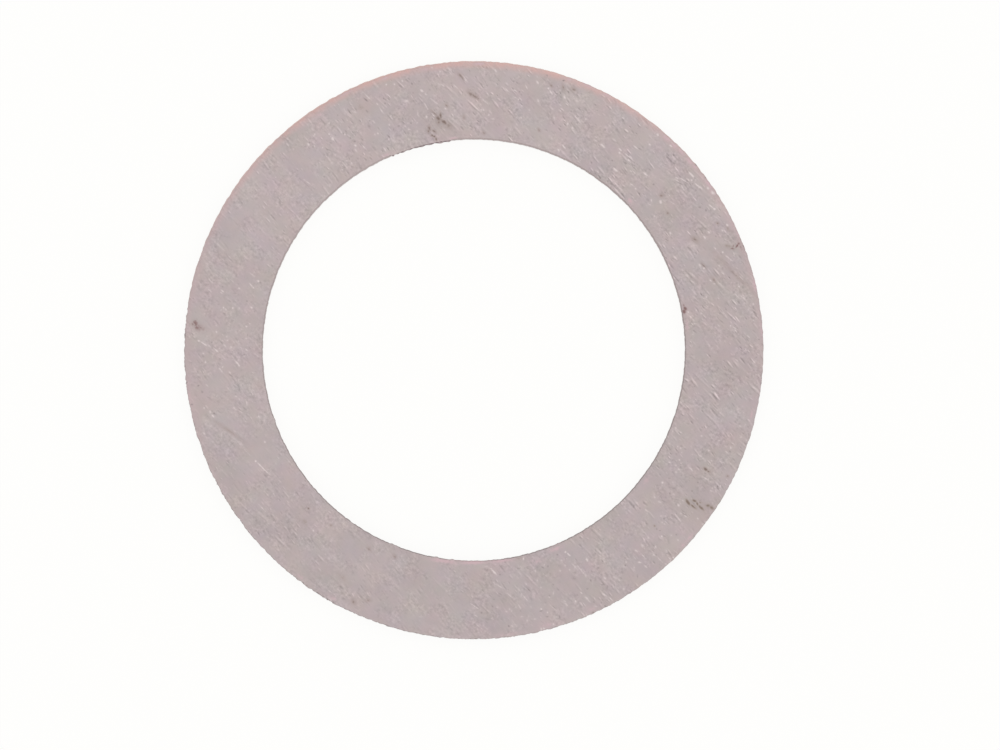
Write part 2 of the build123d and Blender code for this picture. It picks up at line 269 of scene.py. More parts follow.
GLINTS = strokes(
    # the head, towards the left
    (-1.22, 10.35, -50, 0.18, 0.12, 0.6), (-0.37, 11.58, -50, 0.17, 0.1, 0.55),
    (-2.23, 11.12, -45, 0.24, 0.13, 1.0), (-2.87, 10.67, -30, 0.24, 0.14, 0.6),
    (-1.5, 11.4, -30, 0.24, 0.1, 0.46), (-4.3, 9.78, -45, 0.24, 0.1, 0.6),
    (-5.1, 10.2, -50, 0.3, 0.1, 0.42), (-5.55, 10.3, -60, 0.26, 0.1, 0.5),
    (-6.06, 9.05, -60, 0.21, 0.14, 1.0), (-6.84, 9.24, 80, 0.2, 0.12, 0.5),
    (-7.1, 8.8, -45, 0.21, 0.16, 0.75), (-6.85, 8.75, -70, 0.24, 0.1, 0.46),
    (-5.09, 8.76, -50, 0.17, 0.13, 0.85), (-5.05, 8.55, -48, 0.3, 0.1, 0.42),
    (-2.4, 10.1, -80, 0.4, 0.1, 0.38), (-6.1, 8.0, -45, 0.24, 0.18, 0.4),
    # the head, towards the right
    (0.35, 10.29, -50, 0.18, 0.1, 0.55), (2.74, 11.48, -59, 0.26, 0.11, 0.9),
    (2.7, 11.76, -45, 0.2, 0.12, 0.42), (0.94, 11.98, -60, 0.2, 0.1, 0.62),
    (3.9, 10.83, -45, 0.23, 0.13, 1.0), (2.76, 10.69, -70, 0.26, 0.12, 0.6),
    (4.3, 10.79, -45, 0.25, 0.12, 0.42), (4.02, 9.69, -60, 0.17, 0.14, 0.75),
    (4.24, 9.51, -45, 0.2, 0.14, 0.6), (4.81, 9.89, -45, 0.2, 0.12, 0.5),
    (3.46, 9.91, -70, 0.28, 0.1, 0.46), (0.4, 10.27, -25, 0.2, 0.12, 0.5),
    (0.82, 9.91, -20, 0.25, 0.12, 0.46), (2.04, 9.95, -35, 0.2, 0.1, 0.42),
    (5.51, 8.77, -35, 0.3, 0.12, 0.9),
    # the upper right
    (3.64, 8.56, -60, 0.2, 0.12, 0.85), (10.86, 5.34, -50, 0.18, 0.14, 0.8),
    (10.66, 5.1, -50, 0.17, 0.12, 0.6), (8.43, 4.99, -60, 0.17, 0.12, 0.6),
    (7.75, 5.72, -50, 0.18, 0.12, 0.6),
    # the left-hand side
    (-11.54, -3.61, -50, 0.17, 0.13, 0.75), (-8.95, -3.98, -50, 0.17, 0.12, 0.55),
    (-11.78, 0.36, -40, 0.16, 0.12, 0.85), (-10.06, -0.7, -50, 0.14, 0.1, 0.8),
    (-10.83, -0.9, -50, 0.4, 0.11, 0.6), (-10.76, -0.76, 60, 0.16, 0.09, 0.6),
    (-11.5, -0.55, -70, 0.2, 0.1, 0.5), (-10.65, 0.15, -45, 0.2, 0.1, 0.5),
    (-9.24, 2.92, -45, 0.16, 0.12, 0.9), (-9.52, 1.78, -40, 0.2, 0.1, 0.6),
    (-10.07, -1.35, 80, 0.24, 0.1, 0.5), (-10.18, -2.02, -30, 0.2, 0.1, 0.5),
    (-11.28, -2.69, -60, 0.24, 0.12, 0.55), (-11.17, -2.86, -50, 0.34, 0.12, 0.85),
    (-10.25, -2.53, -48, 0.3, 0.1, 0.55), (-9.73, -2.3, -75, 0.35, 0.11, 0.5),
    (-9.77, -3.1, -60, 0.24, 0.1, 0.4), (-10.09, -0.45, -45, 0.16, 0.09, 0.32),
    # the lower left
    (-6.86, -7.77, -50, 0.17, 0.12, 0.6),
    # the scuffed patch at the upper right
    (6.25, 8.44, -45, 0.18, 0.14, 0.75), (6.95, 6.9, -45, 0.16, 0.11, 0.6),
    (7.56, 8.8, -30, 0.2, 0.12, 0.8), (7.9, 9.22, -45, 0.18, 0.13, 0.95),
    (8.01, 6.33, -60, 0.22, 0.17, 0.9), (7.62, 6.4, -75, 0.22, 0.1, 0.6),
    (7.54, 6.22, -40, 0.2, 0.09, 0.5), (9.35, 7.26, -45, 0.16, 0.13, 0.65),
    (9.53, 7.28, -45, 0.14, 0.12, 0.6), (9.68, 6.96, -45, 0.16, 0.12, 0.55),
    (10.33, 6.03, -45, 0.16, 0.13, 0.9), (10.05, 6.92, -60, 0.22, 0.15, 0.8),
    (10.26, 6.73, -50, 0.26, 0.17, 0.85),
    # beside the star-shaped pit
    (-1.66, 10.21, -45, 0.14, 0.09, 0.45), (-1.73, 10.05, -45, 0.12, 0.09, 0.45),
    (-2.03, 10.0, -60, 0.16, 0.12, 0.6), (-0.83, 10.29, -40, 0.2, 0.12, 0.45),
    (-1.8, 9.29, -45, 0.14, 0.12, 0.45),
    # the foot
    (4.84, -9.02, -50, 0.2, 0.14, 0.9), (3.74, -9.07, -50, 0.2, 0.16, 0.4),
    (2.13, -8.97, 88, 0.2, 0.1, 0.8), (5.6, -9.8, -45, 0.24, 0.14, 0.5),
    (6.0, -9.73, -35, 0.4, 0.18, 0.45), (5.67, -9.96, 0, 0.24, 0.1, 0.28),
    (5.96, -10.15, -70, 0.24, 0.1, 0.5), (6.22, -9.87, -45, 0.2, 0.1, 0.42),
    (4.82, -10.65, -45, 0.3, 0.13, 0.72), (5.2, -11.0, -20, 0.2, 0.08, 0.5),
    (5.78, -10.75, -50, 0.2, 0.08, 0.5), (3.4, -10.45, 88, 0.2, 0.1, 0.42),
    (4.35, -10.78, -60, 0.24, 0.11, 0.52), (2.08, -11.45, 0, 0.3, 0.1, 0.46),
    (2.6, -11.55, 0, 0.24, 0.1, 0.42), (1.65, -11.85, -45, 0.2, 0.11, 0.5),
    (3.55, -11.45, 80, 0.24, 0.1, 0.42), (6.95, -8.63, -45, 0.2, 0.14, 0.6),
    (7.2, -8.43, -45, 0.2, 0.14, 0.42), (6.85, -9.38, 88, 0.3, 0.1, 0.38),
    (1.38, -11.23, 0, 0.2, 0.1, 0.38),
    # the lower right
    (11.0, -4.24, -45, 0.15, 0.13, 0.62), (9.3, -5.14, -45, 0.28, 0.14, 0.65),
    (9.83, -4.7, -45, 0.4, 0.12, 0.42), (10.15, -6.07, -45, 0.16, 0.13, 0.6),
    (10.36, -6.08, -80, 0.18, 0.11, 0.6), (10.56, -5.87, -75, 0.24, 0.08, 0.6),
    (10.53, -6.02, -50, 0.16, 0.08, 0.5), (8.07, -5.72, -45, 0.15, 0.13, 0.8),
    (8.75, -6.68, -60, 0.24, 0.12, 0.6), (7.75, -6.34, -50, 0.22, 0.12, 0.5),
    (7.95, -6.55, -30, 0.26, 0.14, 0.5), (7.42, -7.03, -55, 0.2, 0.1, 0.5),
    (9.8, -7.49, 20, 0.14, 0.09, 0.6), (7.45, -8.08, -60, 0.2, 0.11, 0.5),
    (7.2, -8.4, 0, 0.2, 0.16, 0.5), (7.7, -8.8, -45, 0.2, 0.14, 0.6),
    (8.25, -8.65, -60, 0.24, 0.11, 0.52), (11.4, -3.3, -30, 0.22, 0.1, 0.52),
    (11.6, -3.27, 60, 0.2, 0.1, 0.46), (11.43, -3.79, 0, 0.2, 0.14, 0.32),
    # the right-hand side
    (9.9, 4.8, -45, 0.26, 0.11, 0.95), (9.69, 3.6, -45, 0.2, 0.12, 0.8),
    (9.87, 3.47, -45, 0.15, 0.13, 0.8), (10.15, 2.95, -45, 0.2, 0.11, 0.52),
    (10.31, 2.81, 0, 0.2, 0.1, 0.5), (9.97, 2.24, -45, 0.17, 0.12, 0.6),
    (9.76, 1.54, -45, 0.26, 0.14, 0.5),
) + dots(
    (-10.06, 2.62, 0.7), (-10.82, 1.68, 0.52), (-10.73, 1.78, 0.58), (-10.62, 1.72, 0.52),
    (-10.33, 1.77, 0.55), (-10.05, 1.77, 0.5), (-9.74, 0.98, 0.7), (-9.6, 1.09, 0.5),
    (-9.72, 1.58, 0.48), (-11.02, 0.74, 0.6), (-11.44, 0.58, 0.52), (-10.4, 0.1, 0.6),
    (-10.58, 0.53, 0.5), (-10.55, 0.38, 0.5), (-9.76, 0.46, 0.5), (-9.44, 2.63, 0.75),
    (-11.58, -0.18, 0.45), (-11.8, -1.1, 0.45), (-11.02, -2.02, 0.55), (-10.05, -2.13, 0.45),
    (-11.54, -2.52, 0.6), (-9.2, -2.88, 0.55), (-9.48, -1.72, 0.42), (-9.33, -4.8, 1.1),
    (2.24, -10.06, 0.5), (2.45, -11.04, 0.46), (2.62, -9.5, 0.55), (3.02, -9.23, 0.5),
    (3.92, -8.69, 0.75), (5.05, -9.66, 0.65), (5.33, -9.25, 0.45), (5.22, -9.22, 0.45),
    (4.1, -9.45, 0.5), (3.69, -9.5, 0.5), (3.9, -9.25, 0.45), (6.5, -9.1, 0.62), (6.4, -10.26, 0.48),
    (3.24, -10.63, 0.46), (2.88, -11.12, 0.75), (3.15, -11.27, 0.6), (2.73, -9.9, 0.42),
    (2.88, -10.2, 0.46), (1.53, -11.12, 0.5), (1.62, -11.2, 0.42), (1.8, -11.03, 0.45),
    (1.0, -11.05, 0.28), (2.28, -11.62, 0.32), (1.45, -12.22, 0.5), (2.88, -11.97, 0.65),
    (3.0, -11.95, 0.6), (3.4, -11.77, 0.5), (8.64, -3.38, 0.6), (8.5, -3.52, 0.42), (9.75, -3.72, 0.5),
    (10.1, -3.7, 0.42), (10.2, -3.83, 0.42), (10.5, -3.92, 0.42), (8.85, -4.25, 0.62),
    (8.73, -4.17, 0.42), (8.37, -4.06, 0.42), (8.9, -4.43, 0.42), (8.8, -4.75, 0.62),
    (8.86, -4.88, 0.42), (8.37, -4.86, 0.5), (8.67, -4.99, 0.42), (8.78, -5.14, 0.62),
    (8.65, -5.26, 0.5), (9.35, -4.51, 0.42), (10.17, -4.78, 0.52), (10.06, -4.34, 0.34),
    (8.05, -5.84, 0.5), (8.52, -5.71, 0.42), (8.54, -6.21, 0.42), (10.2, -5.95, 0.5),
    (10.32, -5.91, 0.5), (8.94, -6.49, 0.4), (8.0, -7.15, 0.42), (8.07, -7.42, 0.52),
    (8.15, -7.48, 0.5), (8.85, -7.03, 0.42), (9.58, -7.26, 0.52), (9.92, -7.4, 0.5), (8.04, -8.01, 0.7),
    (8.45, -7.98, 0.46), (8.73, -8.18, 0.56), (7.78, -8.47, 0.66), (8.53, -8.92, 0.75),
    (8.42, -9.08, 0.6), (8.2, -9.2, 0.5), (11.67, -3.9, 0.5), (1.92, 10.75, 0.55), (3.2, 11.22, 1.1),
    (2.38, 10.29, 0.5), (0.64, 10.07, 0.46), (0.38, 9.79, 0.4), (-3.07, 11.55, 0.6),
    (-3.76, 11.39, 0.75), (-3.41, 11.4, 0.6), (-1.8, 12.13, 0.5), (-1.45, 11.93, 0.5),
    (-4.5, 9.9, 0.46), (-6.2, 9.73, 0.5), (-6.22, 9.25, 0.7), (-6.15, 9.15, 0.5), (-5.53, 9.24, 0.6),
    (-5.69, 9.32, 0.5), (-5.4, 9.46, 0.42), (-6.5, 8.67, 0.5), (-4.12, 9.28, 0.75), (-4.25, 9.23, 0.5),
    (-3.63, 9.65, 0.66), (-3.56, 10.05, 0.5), (-2.44, 9.73, 0.5), (-2.63, 9.8, 0.5),
    (-2.83, 9.73, 0.46), (-2.8, 9.45, 0.55), (-2.44, 9.38, 0.5), (-5.25, 8.01, 0.62),
    (-5.45, 8.12, 0.42), (-5.96, 8.35, 0.42), (-5.63, 7.7, 0.42), (10.67, 5.1, 0.5),
    (10.67, 4.17, 0.88), (11.33, 2.79, 0.55), (11.38, 2.69, 0.5), (10.49, 2.19, 0.55), (9.19, 1.6, 0.6),
    (9.54, 1.67, 0.5), (11.01, 1.01, 0.7), (11.99, 1.92, 0.5), (11.98, 1.24, 0.42), (12.17, 1.42, 0.42),
    (9.4, 0.63, 0.5),
)


@dataclass(frozen=True)
class Burr:
    """A burr on a cut edge: its bearing in degrees, and its size in millimetres.

    A dark streak runs along the edge at it, with the strength, length and width given.
    """

    bearing: float
    reach: float
    proud: float
    streak_strength: float
    streak_length: float
    streak_width: float = 0.075

    def outward(self) -> Vector:
        """The way out from the axis to the burr."""
        turn = math.radians(self.bearing)
        return Vector((math.cos(turn), math.sin(turn), 0))

    def streak(self, radius: float) -> Mark:
        """The dark streak along the edge at it, at a radius in millimetres."""
        middle = self.outward() * radius
        heading = self.bearing + 90
        return Mark(middle.x, middle.y, heading, self.streak_length, self.streak_width, self.streak_strength)


BORE_BURRS = (
    # the lip at the top, from its left end
    Burr(112.6, 0.09, 0.075, 1.0, 0.12), Burr(111.1, 0.12, 0.042, 0.6, 0.2),
    Burr(109.9, 0.14, 0.055, 1.0, 0.2), Burr(108.7, 0.2, 0.03, 0.55, 0.4),
    Burr(107.4, 0.16, 0.045, 0.75, 0.24), Burr(106.0, 0.22, 0.034, 0.7, 0.5),
    Burr(104.7, 0.2, 0.05, 0.85, 0.4), Burr(103.5, 0.24, 0.044, 0.9, 0.5),
    Burr(101.7, 0.2, 0.058, 0.8, 0.5), Burr(100.1, 0.22, 0.046, 0.8, 0.44),
    Burr(99.0, 0.16, 0.06, 0.95, 0.24), Burr(97.8, 0.22, 0.04, 0.8, 0.44),
    Burr(96.7, 0.18, 0.05, 0.85, 0.24),
    # the lower left
    Burr(199.6, 0.16, 0.02, 0.35, 0.2), Burr(247.2, 0.14, 0.024, 0.75, 0.14),
    Burr(248.5, 0.12, 0.018, 0.6, 0.14), Burr(259.9, 0.14, 0.028, 0.65, 0.16),
    Burr(264.2, 0.14, 0.01, 0.7, 0.2),
)

RIM_BURRS = (
    Burr(183.4, 0.2, 0.016, 0.3, 0.16), Burr(186.6, 0.14, 0.026, 0.7, 0.1),
    Burr(195.0, 0.2, 0.014, 0.45, 0.2), Burr(198.2, 0.16, 0.016, 0.4, 0.16),
    Burr(207.6, 0.18, 0.018, 0.35, 0.2), Burr(232.4, 0.14, 0.02, 0.55, 0.12),
    Burr(233.9, 0.16, 0.014, 0.75, 0.14), Burr(234.8, 0.14, 0.008, 0.55, 0.12),
    Burr(237.5, 0.2, 0.016, 0.7, 0.2), Burr(238.6, 0.2, 0.008, 0.6, 0.24),
    Burr(239.6, 0.14, 0.018, 0.65, 0.16), Burr(241.0, 0.16, 0.01, 0.75, 0.16),
    Burr(244.6, 0.16, 0.014, 0.45, 0.16), Burr(252.6, 0.16, 0.014, 0.5, 0.2),
    Burr(267.4, 0.14, 0.01, 0.4, 0.12),
)

# Dark strokes and dots, painted into the colour as the shade in grooves beside the bright lines.
PAINTED_GROOVE_SHADE = strokes(
    # the scuffed patch at the upper right
    (7.12, 8.62, -33, 0.4, 0.09, 0.5), (6.73, 8.16, -40, 0.6, 0.06, 0.4),
    (8.83, 7.15, -31, 0.46, 0.09, 0.7), (9.1, 7.16, -35, 0.4, 0.07, 0.5),
    (8.6, 7.99, -25, 0.26, 0.09, 0.65), (8.47, 8.08, -45, 0.14, 0.12, 0.5),
    (5.94, 8.12, -40, 0.14, 0.11, 0.55), (5.7, 8.22, -35, 0.7, 0.26, 0.3),
    (9.53, 6.83, -60, 0.15, 0.12, 0.55), (9.69, 6.1, -20, 0.2, 0.15, 0.55),
    (9.96, 5.97, -80, 0.18, 0.14, 0.55), (8.21, 6.74, -40, 0.14, 0.11, 0.5),
    (7.47, 6.42, -45, 0.26, 0.2, 0.4), (7.72, 7.08, -45, 0.16, 0.13, 0.5),
    (7.55, 7.72, -50, 0.26, 0.1, 0.45), (9.55, 7.93, -50, 0.16, 0.12, 0.7),
    (9.94, 7.39, -53, 0.16, 0.12, 0.6),
    # the left-hand side
    (-10.47, 2.07, -45, 0.24, 0.1, 0.5), (-10.93, 1.93, 0, 0.16, 0.08, 0.42),
    (-10.23, 2.4, 0, 0.2, 0.08, 0.42), (-9.7, 0.6, 88, 0.2, 0.08, 0.5),
    (-11.6, -0.3, -60, 0.2, 0.12, 0.5), (-9.83, -0.22, 0, 0.2, 0.1, 0.5),
    (-11.8, -1.57, 30, 0.17, 0.11, 0.6), (-11.63, -1.83, -60, 0.2, 0.14, 0.5),
    (-11.35, -2.08, -35, 0.4, 0.1, 0.4), (-10.4, -1.13, -35, 0.4, 0.08, 0.55),
    (-9.88, -1.17, 88, 0.2, 0.08, 0.46), (-12.07, -2.37, 0, 0.2, 0.11, 0.55),
    (-12.36, 0.62, 87, 0.6, 0.1, 0.55), (-12.23, 2.2, 80, 1.6, 0.1, 0.45),
    (-10.6, -1.83, 0, 0.25, 0.12, 0.35),
    # the foot
    (2.95, -9.35, -30, 0.22, 0.09, 0.65), (3.17, -9.3, 88, 0.15, 0.09, 0.6),
    (1.93, -9.38, 0, 0.24, 0.1, 0.42), (1.1, -10.57, 0, 0.24, 0.08, 0.4),
    (0.8, -11.0, -45, 0.2, 0.1, 0.6), (1.72, -11.03, 45, 0.2, 0.08, 0.42),
    (2.0, -11.2, -60, 0.16, 0.08, 0.5), (2.36, -10.3, -45, 0.4, 0.1, 0.6),
    (3.6, -10.28, -45, 0.26, 0.1, 0.52), (3.43, -11.05, -40, 0.4, 0.09, 0.55),
    (2.88, -11.2, 20, 0.2, 0.1, 0.6), (3.15, -11.45, 0, 0.24, 0.1, 0.42),
    (3.67, -11.45, -75, 0.3, 0.1, 0.52), (4.3, -9.8, -45, 0.5, 0.3, 0.32),
    (5.0, -9.9, -70, 0.2, 0.12, 0.6), (4.86, -10.25, 30, 0.2, 0.12, 0.42),
    (5.05, -9.52, -60, 0.2, 0.1, 0.5), (5.33, -9.36, 0, 0.17, 0.11, 0.6),
    (5.5, -9.07, -60, 0.17, 0.11, 0.6), (6.03, -9.35, 88, 0.3, 0.1, 0.38),
    (6.3, -9.8, -45, 0.2, 0.1, 0.5), (5.55, -10.07, 0, 0.24, 0.1, 0.52),
    (5.7, -10.2, 80, 0.3, 0.11, 0.46), (7.0, -9.72, 88, 0.24, 0.1, 0.46),
    (6.6, -10.1, 88, 0.2, 0.08, 0.5), (5.13, -10.82, -45, 0.2, 0.1, 0.42),
    (0.6, -11.55, -20, 0.4, 0.15, 0.48), (0.33, -11.28, -45, 0.18, 0.15, 0.6),
    # the lower right
    (10.3, -3.21, 0, 0.2, 0.08, 0.4), (8.87, -4.15, -10, 0.2, 0.08, 0.52),
    (9.05, -4.28, -20, 0.22, 0.1, 0.42), (8.67, -4.5, -45, 0.2, 0.16, 0.38),
    (8.37, -5.53, 0, 0.17, 0.08, 0.5), (9.43, -5.49, -48, 0.4, 0.08, 0.48),
    (8.88, -5.88, -42, 0.4, 0.1, 0.42), (8.15, -6.52, -25, 0.5, 0.09, 0.46),
    (8.7, -6.45, -15, 0.4, 0.08, 0.42), (9.02, -7.08, -38, 0.4, 0.1, 0.56),
    (7.28, -6.6, -60, 0.24, 0.14, 0.42), (7.96, -7.77, 0, 0.15, 0.08, 0.5),
    (9.38, -7.71, -60, 0.3, 0.08, 0.36), (8.25, -8.75, 0, 0.2, 0.1, 0.5),
    (8.4, -9.0, -45, 0.2, 0.08, 0.5), (7.68, -8.4, -45, 0.45, 0.08, 0.42),
    (10.97, -4.39, -50, 0.2, 0.1, 0.56), (11.5, -4.6, -70, 0.17, 0.1, 0.5),
    (11.3, -5.07, -45, 0.2, 0.08, 0.48), (11.02, -5.0, -45, 0.22, 0.13, 0.42),
    (11.38, -3.2, 0, 0.2, 0.08, 0.5),
    # the head, towards the right
    (4.44, 10.93, -52, 0.45, 0.1, 0.4), (3.02, 11.6, -45, 0.45, 0.08, 0.42),
    (3.86, 11.56, 0, 0.2, 0.11, 0.85), (3.74, 10.85, -45, 0.16, 0.11, 0.46),
    (1.86, 10.31, -45, 0.2, 0.14, 0.46), (1.62, 9.79, -35, 0.3, 0.14, 0.4),
    (1.08, 9.67, -60, 0.2, 0.1, 0.4),
    # the head, towards the left
    (-4.64, 10.73, -42, 0.4, 0.11, 0.8), (-4.6, 10.25, -50, 0.3, 0.12, 0.52),
    (-5.08, 10.32, -45, 0.26, 0.11, 0.52), (-2.66, 11.42, -60, 0.2, 0.11, 0.6),
    (-3.88, 10.8, 88, 0.2, 0.09, 0.5), (-3.22, 10.35, 0, 0.2, 0.08, 0.42),
    (-3.05, 9.9, -70, 0.25, 0.1, 0.42), (-3.23, 9.6, 0, 0.2, 0.1, 0.52),
    (-3.45, 9.45, 88, 0.2, 0.1, 0.42), (-4.5, 9.6, -45, 0.22, 0.2, 0.38),
    (-4.88, 9.82, -50, 0.26, 0.1, 0.5), (-5.8, 9.83, -25, 0.3, 0.08, 0.42),
    (-6.15, 8.87, 0, 0.2, 0.1, 0.5), (-5.49, 9.36, -50, 0.24, 0.09, 0.5),
    (-5.12, 8.94, 0, 0.2, 0.14, 0.55), (-4.8, 8.8, -50, 0.4, 0.11, 0.75),
    (-3.65, 9.15, -45, 0.3, 0.11, 0.72), (-4.98, 8.2, -40, 0.2, 0.1, 0.46),
    (-5.35, 8.2, -70, 0.3, 0.1, 0.46), (-6.3, 8.6, -45, 0.35, 0.1, 0.46),
    (-6.3, 8.4, -45, 0.3, 0.09, 0.42), (-4.3, 8.65, -40, 0.5, 0.18, 0.34),
    (-5.72, 8.76, 88, 0.22, 0.16, 0.32), (-7.2, 7.1, -45, 0.7, 0.1, 0.38),
    # the right-hand side
    (9.56, 4.97, -80, 0.17, 0.09, 0.5), (9.88, 3.55, -45, 0.36, 0.1, 0.6),
    (11.12, 3.27, -42, 0.5, 0.09, 0.48), (11.53, 2.84, -45, 0.4, 0.09, 0.4),
    (10.61, 1.19, -38, 0.45, 0.1, 0.48), (10.81, 1.7, -45, 0.2, 0.1, 0.42),
) + dots(
    (-10.77, 3.07, 0.4), (-11.14, 2.9, 0.45), (-10.77, 2.68, 0.4), (-9.72, 2.07, 0.45),
    (-9.15, 2.86, 0.5), (-9.4, 1.62, 0.4), (-11.23, 0.3, 0.5), (-11.82, -0.97, 0.46),
    (-12.1, -0.57, 0.46), (-11.12, -2.76, 0.75), (-11.21, -2.65, 0.42), (-10.2, -1.95, 0.45),
    (-9.72, -2.2, 0.4), (-9.58, -2.05, 0.4), (-8.95, -2.7, 0.42), (3.57, -8.8, 0.5), (1.12, -9.65, 0.6),
    (0.75, -9.9, 0.38), (0.95, -11.1, 0.45), (0.86, -10.7, 0.4), (3.25, -10.55, 0.52),
    (3.4, -10.08, 0.38), (4.43, -10.52, 0.5), (5.2, -8.75, 0.42), (6.48, -9.25, 0.65),
    (6.07, -9.62, 0.52), (6.0, -10.1, 0.5), (5.42, -9.85, 0.45), (6.68, -10.43, 0.65),
    (5.62, -11.0, 0.68), (5.45, -10.85, 0.5), (5.1, -11.28, 0.85), (1.5, -11.85, 0.75),
    (1.47, -12.1, 0.45), (0.95, -11.42, 0.42), (9.93, -4.51, 0.38), (8.52, -4.76, 0.42),
    (8.84, -4.93, 0.5), (8.52, -5.26, 0.5), (8.07, -5.12, 0.38), (9.37, -5.17, 0.5), (8.88, -5.4, 0.42),
    (9.08, -5.69, 0.45), (9.59, -5.71, 0.52), (9.9, -5.32, 0.48), (10.43, -5.88, 0.85),
    (9.34, -6.07, 0.6), (8.39, -6.19, 0.66), (7.87, -5.84, 0.5), (8.48, -7.1, 0.46), (8.14, -7.26, 0.6),
    (7.83, -7.7, 0.42), (8.66, -7.94, 0.5), (8.18, -8.0, 0.42), (9.42, -8.0, 0.55), (7.8, -8.8, 0.5),
    (10.85, -4.08, 0.42), (11.67, -4.05, 0.52), (3.14, 11.78, 0.46), (4.18, 10.23, 0.42),
    (4.81, 9.99, 0.46), (4.95, 9.55, 0.46), (1.98, 11.09, 0.46), (2.36, 11.43, 0.38),
    (2.14, 9.31, 0.38), (1.34, 10.23, 0.34), (1.06, 11.56, 0.42), (-2.6, 11.03, 0.42),
    (-2.35, 11.52, 0.42), (-1.9, 11.17, 0.42), (-1.8, 11.35, 0.46), (-1.6, 11.2, 0.4),
    (-3.82, 10.58, 0.46), (-2.6, 10.68, 0.5), (-3.6, 10.15, 0.46), (-3.4, 10.07, 0.4),
    (-2.7, 9.73, 0.56), (-4.48, 9.83, 0.5), (-5.85, 10.07, 0.5), (-5.94, 9.2, 0.42), (-5.6, 9.28, 0.5),
    (-5.3, 9.08, 0.42), (-5.47, 8.28, 0.45), (-7.05, 8.88, 0.56), (-6.9, 8.7, 0.45), (-6.2, 7.6, 0.4),
    (10.29, 1.02, 0.42), (10.03, 2.22, 0.46), (11.69, 2.19, 0.46), (9.4, 2.76, 0.42),
    (9.33, 3.08, 0.38), (11.97, 1.83, 0.46), (11.97, 1.17, 0.46), (10.06, 0.81, 0.42),
    (10.38, 4.85, 0.46), (12.22, 0.42, 0.5),
)

# Pink and salmon patches along the rim and the bore: a warm reflection painted into the colour.
PAINTED_WARM_REFLECTIONS = strokes(
    # along the rim at the upper right
    (8.28, 9.06, -42, 0.5, 0.2, 0.85), (8.6, 8.74, -44, 0.4, 0.2, 0.8),
    (8.92, 8.46, -46, 0.4, 0.22, 0.8), (9.26, 8.08, -49, 0.46, 0.2, 0.85),
    (9.46, 7.84, -50, 0.34, 0.18, 0.7), (10.08, 7.1, -55, 0.6, 0.22, 0.95),
    (10.24, 6.74, -57, 0.36, 0.24, 0.6),
    # elsewhere along the rim and the bore
    (6.7, 6.38, 133, 0.3, 0.24, 0.95), (-0.86, 9.07, 5, 0.48, 0.16, 0.9),
    (-3.75, 8.36, 24, 0.6, 0.16, 0.55), (-1.3, -9.06, -8, 1.6, 0.24, 0.9),
    (0.0, -9.14, 0, 1.5, 0.2, 0.9), (-12.18, -2.0, 99, 1.2, 0.3, 0.35),
    (-7.45, -9.72, 143, 0.55, 0.24, 0.45), (-6.0, -10.66, 150, 0.5, 0.2, 0.4),
    (0.2, 12.28, 0, 0.6, 0.16, 0.8), (4.1, 11.62, -19, 0.44, 0.16, 0.6),
    (4.9, 11.34, -23, 0.8, 0.16, 0.6), (5.7, 10.95, -28, 0.5, 0.16, 0.55),
    (-3.8, 11.67, 18, 0.5, 0.14, 0.7), (-5.5, 11.0, 27, 0.8, 0.14, 0.6),
    (-6.67, 10.07, 20, 0.44, 0.2, 0.42), (-2.1, 12.05, 10, 0.6, 0.16, 0.55),
    (11.35, 4.95, -66, 0.5, 0.16, 0.5), (12.05, 2.75, -77, 0.9, 0.18, 0.7),
    (12.33, 0.8, -86, 1.1, 0.14, 0.55), (9.14, 1.0, -84, 1.0, 0.18, 0.5),
    (1.2, -9.06, 7, 1.3, 0.2, 0.8), (2.7, -9.08, 5, 0.5, 0.22, 0.38), (3.5, -8.55, 22, 0.74, 0.22, 0.8),
    (3.15, -11.8, 15, 0.8, 0.22, 0.46), (1.5, -12.2, 7, 0.8, 0.16, 0.46),
    (5.0, -11.15, 24, 0.6, 0.22, 0.42), (11.9, -2.8, 77, 0.5, 0.16, 0.6),
    (9.25, -8.05, 49, 0.6, 0.18, 0.55), (8.95, -8.38, 47, 0.4, 0.16, 0.45),
    (7.4, -5.6, 60, 0.6, 0.26, 0.45),
) + dots(
    (-9.08, 0.1, 0.6),
)


# ---- Node benches -------------------------------------------------------------------------


